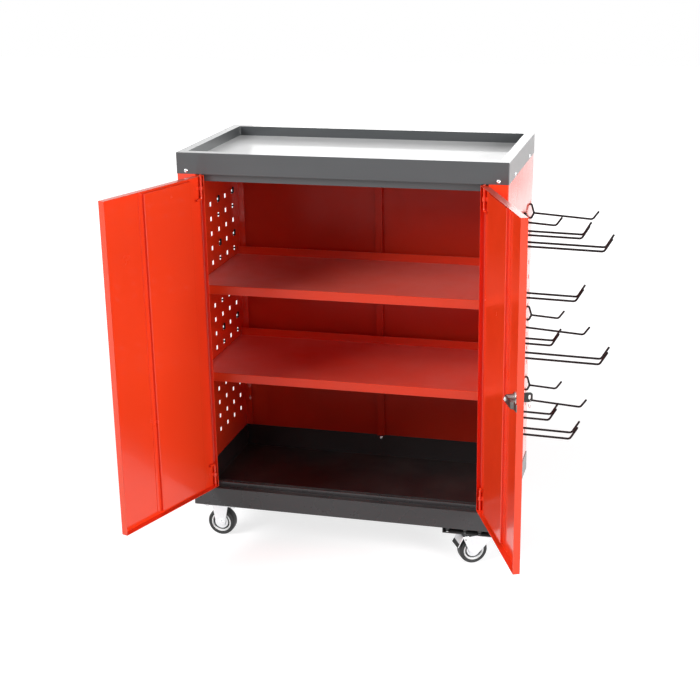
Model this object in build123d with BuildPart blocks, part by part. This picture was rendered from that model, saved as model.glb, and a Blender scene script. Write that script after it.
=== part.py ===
from build123d import *
import math
import os

# Mobile tool cabinet with two doors, two shelves, a top tray and side hooks.
# Millimetres, +Z up, the cabinet faces -Y, the origin is on the floor under its middle.

os.makedirs("parts", exist_ok=True)

# ---------------------------------------------------------------- driving sizes
width = 700.0                  # over the tray and base skirts
depth = 370.0                  # over the tray and base skirts
height = 889.0                 # floor to the rim of the top tray
sheet = 1.0                    # body and door sheet
bend = 1.5                     # inside bend radius of the folded sheets
small = 0.3                    # air between pieces that only pass each other
ground_gap = 90.0              # floor to the bottom edge of the base skirt

base_skirt_high = 43.0         # height of the base skirt
base_stop = 10.5               # door stop strip standing above the base ledge
base_hem = 8.0                 # rearward hem on top of the stop strip
base_foot = 62.0               # inward flange along the bottom of the base skirt
pan_high = 54.0                # walls of the base pan
pan_screw_z = 48.0             # screw in the rear wall of the pan, above the skirt's bottom

tray_skirt = 44.5              # height of the tray skirt
tray_rim = 20.0                # flat rim around the tray
tray_recess = 21.0             # rim to tray floor
tray_screw_x = 329.0           # front and rear skirt screws from the middle
tray_screw_y = 103.0           # side skirt screws from the middle
tray_screw_z = 6.5             # skirt screws above the edge of the skirt
screw_radius = 2.0
screw_head = 4.2
screw_head_high = 2.4
screw_head_taper = 12.0        # degrees
screw_long = 8.0

post_face = 40.0               # front face of each corner post
rear_flange = 16.0             # rear fold of a side panel
roof_flange = 30.0             # top fold of a side panel, under the tray floor
stop_setback = 15.0            # skirt face to the plane of the door stop strips
rail_drop = 17.0               # top stop strip below the tray skirt
rail_lift = 1.0                # pin flange of the top rail above the edge of the skirt

slot = 10.0                    # square slots of the side panels
slot_corner = 0.8
slot_pitch_y = 48.0
slot_pitch_z = 33.7
slot_columns = 7
slot_rows = 17
slot_middle_z = 470.0          # height of the middle row

seam_x = -4.0                  # seam of the two back panels
seam_width = 17.0              # joint strip over the seam
seam_depth = 8.0

shelf_front = 67.0             # cabinet face to shelf lip
shelf_rear = 349.0             # cabinet face to rear lip
shelf_lip = 20.0
shelf_back_lip = 18.0
shelf_side_lip = 22.0
shelf_above_row = 14.5         # shelf deck above the slot row that carries it
upper_shelf_row = 3            # slot rows are counted from the middle row
lower_shelf_row = -3
clip_width = 8.0
clip_ledge = 7.0
clip_hook = 4.0

door_setback = 0.5             # skirt face to door face
door_thick = 14.0
door_gap = 1.0                 # air between the two closed doors
door_air = 3.0                 # air above and below a door
door_corner = 4.0              # outer hinge corner
door_heel = 6.0                # inner hinge corner, rolled so it turns past the stop strips
door_pin_depth = 6.0           # outer face of a door to the hinge axis
pin_inset = 300.0              # hinge axis from the middle of the cabinet
pin_to_edge = 6.0              # hinge axis to the hinge edge of the door
pin_radius = 2.7
pin_fit = 0.08                 # radial running clearance of the hinge pins
pin_inside = 52.0              # hinge pin inside the door
pin_foot = 16.0
pin_grip = 5.0                 # hinge pin beyond its flange
guide_from_edge = 24.0
guide_high = 8.0
left_open = 109.0              # degrees from closed
right_open = 113.5
stiffener_rise = 7.0           # inner face of the stiffener above the door skin
stiffener_start = 24.0         # hinge axis to the first foot
stiffener_end = 189.0          # hinge axis to the end of the second foot
stiffener_foot = 12.0
stiffener_air = 8.0            # stiffener to the top and bottom of the door

lock_from_edge = 51.5          # lock axis to the free edge of the right door
lock_z = 481.0
lock_radius = 8.5
lock_behind = 20.0             # barrel behind the outer face of the door
lock_collar = 11.0
lock_collar_thick = 1.5
lock_nut_radius = 13.0
lock_nut_thick = 4.0
plug_radius = 6.0
plug_fit = 0.06
plug_head = 7.5
plug_square = 7.0              # square that carries the cam
keyway_deep = 16.0
cam_reach = 58.0
cam_high = 14.0
cam_thick = 2.0
cam_crank = 5.3
cam_bend_at = 30.0             # lock axis to the start of the crank
cam_bend_long = 12.0
cam_screw_radius = 5.0
cam_screw_high = 2.6
cam_thread = 1.8
cam_thread_long = 5.5
key_thick = 2.0
key_high = 8.0
key_shank = 10.0               # bare blade between the lock and the bow
bow_long = 20.0
bow_high = 19.0
bow_half = 1.6                 # half the thickness of the moulded bow
bow_corner = 5.0
bow_hole_high = 10.0
bow_hole_wide = 5.0
bow_hole_at = 6.0              # end of the bow to the middle of its hole
ring_radius = 9.0
ring_wire = 0.8

wire = 2.3                     # radius of the hook wire
hook_root = 9.0                # wire bend to the panel face
hook_drop = 5.3                # prong below the middle of its two slots
hook_stem = 9.0                # base wire behind the panel, above the middle of its slot
hook_shoulder = 3.5            # base wire in front of the panel where it turns down
hook_tail = 0.9                # end of the base wire behind the lower slot
prong_pair = 36.0              # between the prongs of a double hook

wheel_radius = 31.5
wheel_width = 25.0
rim_radius = 23.0
tyre_round = 3.0
rim_inset = 1.0                # rim inside the sides of the tyre
rim_lip = 3.0
web_inset = 4.0                # wheel web inside the sides of the tyre
caster_plate = 2.5
caster_plate_x = 80.0
caster_plate_y = 42.0
plate_corner = 5.0
caster_bolt_x = 62.0
caster_bolt_y = 26.0
caster_inset_x = 47.0          # caster centre from the side of the cabinet
caster_inset_y = 50.0          # caster centre from the front and back
channel_drop = 13.0            # caster channel below the base skirt
channel_width = 126.0
channel_inset = 5.0            # channel from the side of the cabinet
channel_sheet = 1.5
channel_tab = 12.0
channel_from_front = {"left": 32.0, "right": 3.0}
bolt_radius = 3.0
bolt_head_radius = 5.6
bolt_head = 3.6
nut_high = 4.5
tab_bolt_x = (229.0, 267.0, 300.0)
swivel_trail = 28.0
fork_sheet = 2.5
fork_air = 1.5                 # wheel to fork leg
axle_radius = 4.0
axle_fit = 0.06
leg_end = 11.0                 # rounded end of a fork leg
leg_root = 2.0                 # height of the strip where a leg joins its plate
rigid_leg_wide = 36.0
swivel_leg_wide = 42.0
swivel_leg_shift = 1.0
crown_bottom = 64.5
swivel_heading = {"front": 210.0, "rear": 150.0}
axle_head = 7.5
hub_radius = 12.0
race_radius = 17.0
race_high = 3.0                # each half of the ball race
race_lip = 2.0
king_radius = 5.0
king_head = 8.0
king_head_high = 2.0
pedal_pivot_r = 48.0           # brake pivot from the swivel axis and above the floor
pedal_pivot_z = 62.0
pedal_pin = 2.0
pedal_ear = 4.0                # fork ear round the brake pivot
pedal_cheek = 4.5
pedal_lift = 7.0               # tread above the pivot
pedal_back = 7.0               # tread behind the pivot
pedal_nose = 6.0               # pivot to the bend of the tread
pedal_reach = 19.0             # pivot to the tip of the tread
pedal_fall = 17.0              # tip of the tread below the pivot
pedal_sheet = 1.5

# ---------------------------------------------------------------- derived places
half_w = width / 2
front = -depth / 2
back = depth / 2
base_top = ground_gap + base_skirt_high
skirt_bottom = height - tray_skirt
tray_floor = height - tray_recess
stop_plane = front + stop_setback
panel_outer = half_w - sheet
panel_inner = half_w - 2 * sheet
post_edge = panel_outer - post_face
panel_bottom = ground_gap + sheet
panel_top = tray_floor - sheet
back_inner = back - 2 * sheet
rail_flange = skirt_bottom + rail_lift
door_front = front + door_setback
door_bottom = base_top + door_air
door_top = skirt_bottom - door_air
door_high = door_top - door_bottom
pin_y = door_front + door_pin_depth
door_out = -door_pin_depth                    # outer face, measured from the hinge axis inward
door_in = door_thick - door_pin_depth         # rear edge of the flanges
skin_in = door_out + sheet                    # inner face of the door sheet
door_free = pin_inset - door_gap / 2          # hinge axis to the free edge
lock_u = door_free - lock_from_edge
channel_bottom = ground_gap - channel_drop
caster_x = half_w - caster_inset_x
caster_y = depth / 2 - caster_inset_y
plate_bottom = channel_bottom - caster_plate


def row_z(row):
    """Height of a slot row, counted from the middle row."""
    return slot_middle_z + row * slot_pitch_z


def column_y(column):
    """Place of a slot column, counted from the middle column."""
    return column * slot_pitch_y


def save(node, name):
    """Labels a finished piece and writes its STEP file."""
    node.part.label = name
    export_step(node.part, f"parts/{name}.step")


def cut_holes(planes, radius, deep):
    """Drills the piece being built at each plane, to both sides."""
    for plane in planes:
        with BuildSketch(plane) as hole:
            Circle(radius)
        extrude(hole.sketch, amount=deep, both=True, mode=Mode.SUBTRACT)


def fold(points, side=Side.LEFT, thick=sheet, radius=bend):
    """Section of a folded sheet: the bent line of one face, given the thickness of the sheet."""
    with BuildLine() as line:
        FilletPolyline(*points, radius=radius)
        offset(amount=thick, side=side)
    make_face(line.edges())


tray_screws_at = []
for hand in (-1, 1):
    for x, y, out in (
        (hand * tray_screw_x, front, (0, -1, 0)),
        (hand * tray_screw_x, back, (0, 1, 0)),
        (hand * half_w, -tray_screw_y, (hand, 0, 0)),
        (hand * half_w, tray_screw_y, (hand, 0, 0)),
    ):
        tray_screws_at.append(Plane(origin=(x, y, skirt_bottom + tray_screw_z), z_dir=out))
pan_screw_at = Plane(origin=(seam_x, back - sheet, ground_gap + pan_screw_z), z_dir=(0, 1, 0))


def channel_bolt_places(side):
    """Bolts through the end tabs of a caster channel."""
    hand = -1 if side == "left" else 1
    near = front + channel_from_front[side] + channel_tab / 2
    far = back - channel_from_front["right"] - channel_tab / 2
    return [(hand * x, y) for y in (near, far) for x in tab_bolt_x]


def plate_bolt_places(hand, centres=(-caster_y, caster_y)):
    """Bolts through the plates of the casters on one side."""
    places = []
    for centre in centres:
        for along in (-caster_bolt_x / 2, caster_bolt_x / 2):
            for across in (-caster_bolt_y / 2, caster_bolt_y / 2):
                places.append((hand * caster_x + along, centre + across))
    return places


# ---------------------------------------------------------------- base skirt and pan
# The skirt has a flange along its bottom; at the front it folds back to the lower door stop.
with BuildPart() as base_skirt:
    with BuildSketch(Plane.XY.offset(ground_gap)):
        RectangleRounded(width, depth, bend + sheet)
        RectangleRounded(width - 2 * sheet, depth - 2 * sheet, bend, mode=Mode.SUBTRACT)
    extrude(amount=base_skirt_high)
    with BuildSketch(Plane.XY.offset(ground_gap)):
        RectangleRounded(width - sheet, depth - sheet, bend)
        Rectangle(width - 2 * base_foot, depth - 2 * base_foot, mode=Mode.SUBTRACT)
    extrude(amount=sheet)
    with BuildSketch(Plane.XY.offset(base_top - sheet)):
        with Locations((0, front + (stop_setback + sheet) / 2)):
            Rectangle(2 * (post_edge - small), stop_setback + sheet)
    extrude(amount=sheet)
    with BuildSketch(Plane.YZ.offset(-panel_inner + small)):
        fold(
            [
                (stop_plane, base_top - sheet),
                (stop_plane, base_top + base_stop),
                (stop_plane + base_hem, base_top + base_stop),
            ],
            side=Side.RIGHT,
        )
    extrude(amount=2 * (panel_inner - small))
    with BuildSketch(Plane.XY.offset(base_top - sheet)):
        with Locations((-pin_inset, pin_y), (pin_inset, pin_y)):
            Circle(pin_radius + pin_fit)
    extrude(amount=sheet, mode=Mode.SUBTRACT)
    with BuildSketch(Plane.XY.offset(ground_gap)):
        with Locations(*channel_bolt_places("left"), *channel_bolt_places("right")):
            Circle(bolt_radius)
    extrude(amount=sheet, mode=Mode.SUBTRACT)
save(base_skirt, "base_skirt")

# Deep pan that closes the bottom; it stands on the flange of the skirt.
pan_front = stop_plane + base_hem + small
pan_rear = back_inner - sheet - small
pan_half = panel_inner - small
pan_floor = panel_bottom + sheet
with BuildPart() as base_pan:
    with BuildSketch(Plane.XY.offset(panel_bottom)):
        with Locations((0, (pan_front + pan_rear) / 2)):
            RectangleRounded(2 * pan_half, pan_rear - pan_front, bend + sheet)
    extrude(amount=pan_high)
    with BuildSketch(Plane.XY.offset(pan_floor)):
        with Locations((0, (pan_front + pan_rear) / 2)):
            RectangleRounded(2 * (pan_half - sheet), pan_rear - pan_front - 2 * sheet, bend)
    extrude(amount=pan_high, mode=Mode.SUBTRACT)
    cut_holes([pan_screw_at], screw_radius, 3 * sheet + small)
    with BuildSketch(Plane.XY.offset(panel_bottom)):
        with Locations(*channel_bolt_places("left"), *channel_bolt_places("right")):
            Circle(bolt_head_radius + small)
    extrude(amount=sheet, mode=Mode.SUBTRACT)
save(base_pan, "base_pan")


# ---------------------------------------------------------------- side panels
# One folded sheet a side: post return and face, slotted wall, rear flange, and a top flange.
def side_panel(hand):
    """Side panel for hand -1 (left) or +1 (right)."""
    with BuildPart() as panel:
        with BuildSketch(Plane.XY.offset(panel_bottom)):
            fold(
                [
                    (hand * post_edge, stop_plane),
                    (hand * post_edge, front + sheet),
                    (hand * panel_outer, front + sheet),
                    (hand * panel_outer, back_inner),
                    (hand * (panel_outer - rear_flange), back_inner),
                ],
                side=Side.LEFT if hand > 0 else Side.RIGHT,
            )
        extrude(amount=panel_top - panel_bottom)
        with BuildSketch(Plane.XY.offset(panel_top - sheet)):
            with Locations((hand * (panel_outer - roof_flange / 2), 0)):
                Rectangle(roof_flange, 2 * (back_inner - stop_setback))
        extrude(amount=sheet)
        with BuildSketch(Plane.YZ.offset(hand * half_w)):
            with Locations((0, slot_middle_z)):
                with GridLocations(slot_pitch_y, slot_pitch_z, slot_columns, slot_rows):
                    RectangleRounded(slot, slot, slot_corner)
        extrude(amount=-hand * 3 * sheet, mode=Mode.SUBTRACT)
        cut_holes(tray_screws_at, screw_radius, 4 * sheet)
    return panel


save(side_panel(-1), "left_side_panel")
save(side_panel(1), "right_side_panel")


# ---------------------------------------------------------------- back panels and seam strip
# Two sheets on the rear flanges; their inner edges turn inward and a channel clips over both.
strip_bottom = panel_bottom + pan_high + small


def back_panel(hand):
    """Back panel for hand -1 (left) or +1 (right)."""
    seam = seam_x + hand * small
    with BuildPart() as panel:
        with BuildSketch(Plane.XY.offset(panel_bottom)):
            with Locations(((hand * (panel_inner - sheet) + seam) / 2, back_inner + sheet / 2)):
                Rectangle(abs(panel_inner - sheet - hand * seam), sheet)
        extrude(amount=panel_top - panel_bottom)
        with BuildSketch(Plane.XY.offset(strip_bottom)):
            with Locations((seam + hand * sheet / 2, back_inner - (seam_depth - sheet) / 2)):
                Rectangle(sheet, seam_depth - sheet)
        extrude(amount=panel_top - strip_bottom)
        cut_holes(tray_screws_at + [pan_screw_at], screw_radius, 4 * sheet)
    return panel


save(back_panel(-1), "left_back_panel")
save(back_panel(1), "right_back_panel")

with BuildPart() as back_seam_strip:
    with BuildSketch(Plane.XY.offset(strip_bottom)):
        with Locations((seam_x, back_inner - seam_depth / 2)):
            Rectangle(seam_width, seam_depth)
        with Locations((seam_x, back_inner - seam_depth / 2 + sheet)):
            Rectangle(seam_width - 2 * sheet, seam_depth, mode=Mode.SUBTRACT)
    extrude(amount=panel_top - strip_bottom)
save(back_seam_strip, "back_seam_strip")

# ---------------------------------------------------------------- top tray and top rail
# Tray pressed in one: skirt outside the body, flat rim, recessed floor.
with BuildPart() as top_tray:
    with BuildSketch(Plane.XY.offset(skirt_bottom)):
        RectangleRounded(width, depth, bend + sheet)
    extrude(amount=tray_skirt)
    fillet(top_tray.faces().sort_by(Axis.Z)[-1].edges(), bend)
    with BuildSketch(Plane.XY.offset(skirt_bottom)):
        RectangleRounded(width - 2 * sheet, depth - 2 * sheet, bend)
    extrude(amount=tray_skirt - sheet, mode=Mode.SUBTRACT)
    with BuildSketch(Plane.XY.offset(tray_floor - sheet)):
        RectangleRounded(width - 2 * tray_rim + 2 * sheet, depth - 2 * tray_rim + 2 * sheet, 5)
    extrude(amount=tray_recess)
    with BuildSketch(Plane.XY.offset(tray_floor)):
        RectangleRounded(width - 2 * tray_rim, depth - 2 * tray_rim, 4)
    extrude(amount=tray_recess + sheet, mode=Mode.SUBTRACT)
    cut_holes(tray_screws_at, screw_radius, 2 * sheet)
save(top_tray, "top_tray")

# Rail behind the tray skirt: the forward flange takes the upper pins, the strip stops the doors.
with BuildPart() as top_rail:
    with BuildSketch(Plane.YZ.offset(-panel_inner + small)):
        fold(
            [
                (stop_plane, skirt_bottom - rail_drop),
                (stop_plane, tray_floor - 2 * sheet),
                (stop_plane + base_hem, tray_floor - 2 * sheet),
            ],
            side=Side.RIGHT,
        )
    extrude(amount=2 * (panel_inner - small))
    with BuildSketch(Plane.XY.offset(rail_flange)):
        with Locations((0, (front + sheet + stop_plane + sheet) / 2)):
            Rectangle(2 * (post_edge - small), stop_setback)
        with Locations((-pin_inset, pin_y), (pin_inset, pin_y)):
            Circle(pin_radius + pin_fit, mode=Mode.SUBTRACT)
    extrude(amount=sheet)
save(top_rail, "top_rail")


# ---------------------------------------------------------------- shelves and their clips
def shelf(row):
    """Shelf tray carried by the clips in a slot row."""
    deck = row_z(row) + shelf_above_row
    half = panel_inner - sheet - small
    near = front + shelf_front
    far = front + shelf_rear
    with BuildPart() as part:
        with BuildSketch(Plane.YZ.offset(-half)):
            fold(
                [
                    (near, deck - shelf_lip),
                    (near, deck),
                    (far, deck),
                    (far, deck + shelf_back_lip),
                ],
                side=Side.RIGHT,
            )
        extrude(amount=2 * half)
        with BuildSketch(Plane.XY.offset(deck - shelf_side_lip)):
            with Locations((-half + sheet / 2, (near + far) / 2), (half - sheet / 2, (near + far) / 2)):
                Rectangle(sheet, far - near - 4 * sheet)
        extrude(amount=shelf_side_lip - sheet / 2)
    return part


save(shelf(upper_shelf_row), "upper_shelf")
save(shelf(lower_shelf_row), "lower_shelf")

# Sheet clips hooked through the slots; the side lips of the shelves stand on their ledges.
hook_in = panel_outer + small
ledge_in = panel_inner - sheet - clip_ledge
with BuildPart() as shelf_clips:
    for hand in (-1, 1):
        for row in (upper_shelf_row, lower_shelf_row):
            sill = row_z(row) - slot / 2
            ledge = row_z(row) + shelf_above_row - shelf_side_lip
            for column in (-2, 2):
                with BuildSketch(Plane.XZ.offset(-column_y(column) - clip_width / 2)):
                    with BuildLine():
                        Polyline(
                            (hand * hook_in, sill - clip_hook),
                            (hand * hook_in, sill),
                            (hand * panel_inner, sill),
                            (hand * panel_inner, ledge - sheet),
                            (hand * ledge_in, ledge - sheet),
                            (hand * ledge_in, ledge),
                            (hand * (panel_inner - sheet), ledge),
                            (hand * (panel_inner - sheet), sill + sheet),
                            (hand * (hook_in + sheet), sill + sheet),
                            (hand * (hook_in + sheet), sill - clip_hook),
                            close=True,
                        )
                    make_face()
                extrude(amount=clip_width)
save(shelf_clips, "shelf_clips")


# ---------------------------------------------------------------- doors
def door_plan(hand, z):
    """Plan of an opened door: +X from the hinge axis to the free edge."""
    angle = math.radians(left_open if hand < 0 else right_open)
    along = (-hand * math.cos(angle), -math.sin(angle), 0)
    return Plane(origin=(hand * pin_inset, pin_y, z), x_dir=along, z_dir=(0, 0, 1))


def door_skin(hand):
    """Folded tray of a door; local Y is -hand times the depth toward the inside."""
    turn = -hand
    with BuildPart() as skin:
        for inset, low, high, mode in (
            (0.0, door_bottom, door_top, Mode.ADD),
            (sheet, door_bottom + sheet, door_top - sheet, Mode.SUBTRACT),
        ):
            heel = door_heel - inset
            corner = door_corner - inset
            edge = inset - pin_to_edge
            face = turn * (door_out + inset)
            rear = turn * (door_in + inset)
            curl = (0, turn * (door_in - inset))
            with BuildSketch(door_plan(hand, low)):
                with BuildLine():
                    if inset:
                        Line(curl, (0, rear))
                    Polyline((0, rear), (door_free - inset, rear), (door_free - inset, face),
                             (corner + edge, face))
                    RadiusArc((corner + edge, face), (edge, face + turn * corner), turn * corner)
                    Line((edge, face + turn * corner), (edge, turn * (door_in - door_heel)))
                    RadiusArc((edge, turn * (door_in - door_heel)), curl, turn * heel)
                make_face()
            extrude(amount=high - low, mode=mode)
        with BuildSketch(door_plan(hand, door_bottom)):
            Circle(pin_radius)
        extrude(amount=door_high, mode=Mode.SUBTRACT)
        if hand > 0:
            with BuildSketch(lock_plane):
                Circle(lock_radius)
            extrude(amount=2 * door_out, mode=Mode.SUBTRACT)
    return skin


def door_stiffener(hand):
    """Wide hat section welded to the inside of the door sheet."""
    turn = -hand
    floor = turn * skin_in
    web = turn * (door_out + stiffener_rise)
    first = stiffener_start + stiffener_foot
    last = stiffener_end - stiffener_foot
    with BuildPart() as hat:
        with BuildSketch(door_plan(hand, door_bottom + stiffener_air)):
            fold(
                [
                    (stiffener_start, floor),
                    (first, floor),
                    (first, web),
                    (last, web),
                    (last, floor),
                    (stiffener_end, floor),
                ],
                side=Side.LEFT if turn > 0 else Side.RIGHT,
                radius=bend / 2,
            )
        extrude(amount=door_high - 2 * stiffener_air)
    return hat


def hinge_pins(hand):
    """Two sprung rods with a bent foot; each reaches through the door flange into the frame."""
    plan = door_plan(hand, 0)
    with BuildPart() as pins:
        for tip, corner in (
            (rail_flange + sheet + pin_grip, door_top - pin_inside),
            (base_top - sheet - pin_grip, door_bottom + pin_inside),
        ):
            with BuildLine() as path:
                FilletPolyline(
                    plan.from_local_coords((0, 0, tip)),
                    plan.from_local_coords((0, 0, corner)),
                    plan.from_local_coords((pin_foot, 0, corner)),
                    radius=2 * pin_radius,
                )
            with BuildSketch(Plane(origin=path.line @ 0, z_dir=path.line % 0)):
                Circle(pin_radius)
            sweep(path=path.line)
    return pins


def pin_guides(hand):
    """Two blocks on the door sheet that hold the inner ends of the hinge pins."""
    turn = -hand
    wall = pin_radius + 2 * sheet
    foot = 3 * wall
    with BuildPart() as guides:
        for low in (door_bottom + guide_from_edge, door_top - guide_from_edge - guide_high):
            with BuildSketch(door_plan(hand, low)):
                Circle(wall)
                with Locations((wall / 2, turn * skin_in / 2)):
                    Rectangle(wall, -skin_in)
                with Locations((foot / 2, turn * (skin_in + sheet / 2))):
                    Rectangle(foot, sheet)
                Circle(pin_radius, mode=Mode.SUBTRACT)
            extrude(amount=guide_high)
    return guides


right_plan = door_plan(1, lock_z)
inward = tuple(right_plan.y_dir * -1)
lock_axis = right_plan.from_local_coords((lock_u, 0, 0))
lock_plane = Plane(origin=lock_axis, x_dir=right_plan.x_dir, z_dir=inward)

save(door_skin(-1), "left_door")
save(door_skin(1), "right_door")
save(door_stiffener(-1), "left_door_stiffener")
save(door_stiffener(1), "right_door_stiffener")
save(hinge_pins(-1), "left_hinge_pins")
save(hinge_pins(1), "right_hinge_pins")
save(pin_guides(-1), "left_pin_guides")
save(pin_guides(1), "right_pin_guides")

# ---------------------------------------------------------------- cam lock of the right door
# Places along the lock axis are measured from the plane of the hinge pins, inward positive.
barrel_end = lock_behind + door_out
collar_front = door_out - lock_collar_thick
cam_low = barrel_end + 0.1
cam_top = cam_low + cam_thick
cam_bend_middle = cam_bend_at + cam_bend_long / 2
cam_bend_end = cam_bend_at + cam_bend_long

with BuildPart() as lock_barrel:
    with BuildSketch(lock_plane.offset(collar_front)):
        Circle(lock_collar)
    extrude(amount=lock_collar_thick)
    with BuildSketch(lock_plane.offset(door_out)):
        Circle(lock_radius)
    extrude(amount=lock_behind)
    with BuildSketch(lock_plane.offset(collar_front)):
        Circle(plug_radius + plug_fit)
    extrude(amount=lock_behind + lock_collar_thick, mode=Mode.SUBTRACT)
    with BuildSketch(lock_plane.offset(collar_front)):
        Circle(plug_head + plug_fit)
    extrude(amount=lock_collar_thick, mode=Mode.SUBTRACT)
save(lock_barrel, "lock_barrel")

with BuildPart() as lock_nut:
    with BuildSketch(lock_plane.offset(skin_in)):
        RegularPolygon(lock_nut_radius, 6)
        Circle(lock_radius, mode=Mode.SUBTRACT)
    extrude(amount=lock_nut_thick)
save(lock_nut, "lock_nut")

with BuildPart() as lock_plug:
    with BuildSketch(lock_plane.offset(collar_front)):
        Circle(plug_head)
    extrude(amount=lock_collar_thick - 0.1)
    with BuildSketch(lock_plane.offset(collar_front)):
        Circle(plug_radius)
    extrude(amount=cam_low - collar_front)
    with BuildSketch(lock_plane.offset(cam_low)):
        Rectangle(plug_square, plug_square)
    extrude(amount=cam_thick)
    with BuildSketch(lock_plane.offset(cam_top)):
        Circle(cam_thread)
    extrude(amount=-cam_thread_long - small, mode=Mode.SUBTRACT)
    with BuildSketch(lock_plane.offset(collar_front)):
        Rectangle(key_thick + 0.1, key_high + 0.1)
    extrude(amount=keyway_deep, mode=Mode.SUBTRACT)
save(lock_plug, "lock_plug")

with BuildPart() as lock_cam:
    with BuildSketch(lock_plane.offset(cam_low)):
        with Locations((cam_bend_at / 2, 0)):
            SlotCenterToCenter(cam_bend_at, cam_high)
        Rectangle(plug_square, plug_square, mode=Mode.SUBTRACT)
    extrude(amount=cam_thick)
    with BuildSketch(Plane(origin=lock_plane.from_local_coords((0, -cam_high / 2, 0)),
                           x_dir=lock_plane.x_dir, z_dir=lock_plane.y_dir)):
        with BuildLine():
            Polyline(
                (cam_bend_at, -cam_low), (cam_bend_at, -cam_top), (cam_bend_middle, -cam_top),
                (cam_bend_end, -cam_top + cam_crank), (cam_reach, -cam_top + cam_crank),
                (cam_reach, -cam_low + cam_crank), (cam_bend_end - sheet, -cam_low + cam_crank),
                (cam_bend_middle - sheet, -cam_low), close=True,
            )
        make_face()
    extrude(amount=cam_high)
save(lock_cam, "lock_cam")

with BuildPart() as cam_screw:
    with BuildSketch(lock_plane.offset(cam_top)):
        Circle(cam_screw_radius)
    extrude(amount=cam_screw_high)
    fillet(cam_screw.edges().sort_by(Axis(lock_axis, inward))[-1], cam_screw_high / 2.2)
    with BuildSketch(lock_plane.offset(cam_top)):
        Circle(cam_thread)
    extrude(amount=-cam_thread_long)
save(cam_screw, "cam_screw")

bow_start = collar_front - key_shank
bow_side = Plane(origin=lock_axis, x_dir=inward, z_dir=tuple(lock_plane.x_dir * -1))
with BuildPart() as key:
    with BuildSketch(bow_side):
        with Locations(((bow_start + collar_front + keyway_deep) / 2, 0)):
            Rectangle(collar_front + keyway_deep - bow_start, key_high)
    extrude(amount=key_thick / 2, both=True)
    with BuildSketch(bow_side):
        with Locations((bow_start - bow_long / 2, 0)):
            RectangleRounded(bow_long, bow_high, bow_corner)
        with Locations((bow_start - bow_long + bow_hole_at, 0)):
            SlotOverall(bow_hole_high, bow_hole_wide, rotation=90, mode=Mode.SUBTRACT)
    extrude(amount=bow_half, both=True)
save(key, "key")

hole_sill = bow_hole_high / 2
ring_inner = ring_radius - ring_wire
ring_sag = ring_inner - math.sqrt(ring_inner**2 - bow_half**2)
ring_top = -hole_sill + ring_wire + ring_sag + pin_fit / 4
with BuildPart() as key_ring:
    with BuildSketch(Plane(origin=lock_plane.from_local_coords((0, ring_top - ring_radius, bow_start - bow_long + bow_hole_at)),
                           x_dir=lock_plane.x_dir, z_dir=lock_plane.y_dir)):
        with Locations((ring_radius, 0)):
            Circle(ring_wire)
    revolve(axis=Axis(lock_plane.from_local_coords((0, ring_top - ring_radius, bow_start - bow_long + bow_hole_at)), inward))
save(key_ring, "key_ring")

# ---------------------------------------------------------------- wire hooks
# Column, upper of the two slot rows, straight length from the panel, one or two prongs.
right_top_row = [(3, 8, 137.0, 1), (1, 8, 68.0, 1), (-1, 8, 134.0, 2), (-3, 8, 188.0, 2)]
right_middle_row = [
    (-1, 4, 126.0, 2), (3, 1, 69.0, 1), (1, 1, 135.0, 1), (-1, 1, 78.5, 2), (-3, 1, 188.0, 2),
]
right_bottom_row = [(3, -4, 68.0, 1), (1, -4, 134.0, 1), (-1, -4, 78.0, 2), (-3, -4, 133.5, 2)]
left_rows = [(column, upper, 68.0, 1) for upper in (8, 5, 2, -1) for column in (3, 1)]
weld_radius = 3.4              # bead that joins a single prong to its base
hook_bend = 2.6                # centre line of the tight bends
prong_bend = 5.0
single_droop = math.radians(4.0)
double_droop = math.radians(1.3)
single_tip = (12.0, 17.0)      # outward and upward
double_tip = (15.0, 25.5)


def hooks(hand, table):
    """Bent wire hooks on one side: a base through two slots and one or two prongs."""
    inside = -sheet - wire - 0.1
    with BuildPart() as row:
        for column, upper, reach, prongs in table:
            y = column_y(column)
            high = row_z(upper)
            low = row_z(upper - 1)
            middle = (high + low) / 2 - hook_drop
            sill = high - slot / 2 + wire + 0.05
            place = [
                (inside, high + hook_stem), (inside, sill), (hook_shoulder, sill),
                (hook_root, middle), (hook_shoulder, low), (-sheet - hook_tail, low),
            ]
            with BuildLine() as base:
                FilletPolyline(*[(hand * (panel_outer + d), y, z) for d, z in place], radius=hook_bend)
            with BuildSketch(Plane(origin=base.line @ 0, z_dir=base.line % 0)):
                Circle(wire)
            sweep(path=base.line)
            if prongs == 1:
                with Locations((hand * (panel_outer + hook_root), y, middle)):
                    Sphere(weld_radius)
            droop = single_droop if prongs == 1 else double_droop
            rise = single_tip if prongs == 1 else double_tip
            root = hook_root if prongs == 1 else hook_root + wire
            end = (reach + sheet, middle - (reach - root) * math.tan(droop))
            tip = (end[0] + rise[0], end[1] + rise[1])
            spread = prong_pair / 2
            if prongs == 1:
                corners = [(root, y, middle), (end[0], y, end[1]), (tip[0], y, tip[1])]
            else:
                corners = [
                    (tip[0], y + spread, tip[1]), (end[0], y + spread, end[1]),
                    (root, y + spread, middle), (root, y - spread, middle),
                    (end[0], y - spread, end[1]), (tip[0], y - spread, tip[1]),
                ]
            with BuildLine() as prong:
                FilletPolyline(*[(hand * (panel_outer + d), at, z) for d, at, z in corners], radius=prong_bend)
            with BuildSketch(Plane(origin=prong.line @ 0, z_dir=prong.line % 0)):
                Circle(wire)
            sweep(path=prong.line)
    return row


save(hooks(1, right_top_row), "right_hooks_top")
save(hooks(1, right_middle_row), "right_hooks_middle")
save(hooks(1, right_bottom_row), "right_hooks_bottom")
save(hooks(-1, left_rows), "left_hooks")


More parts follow.
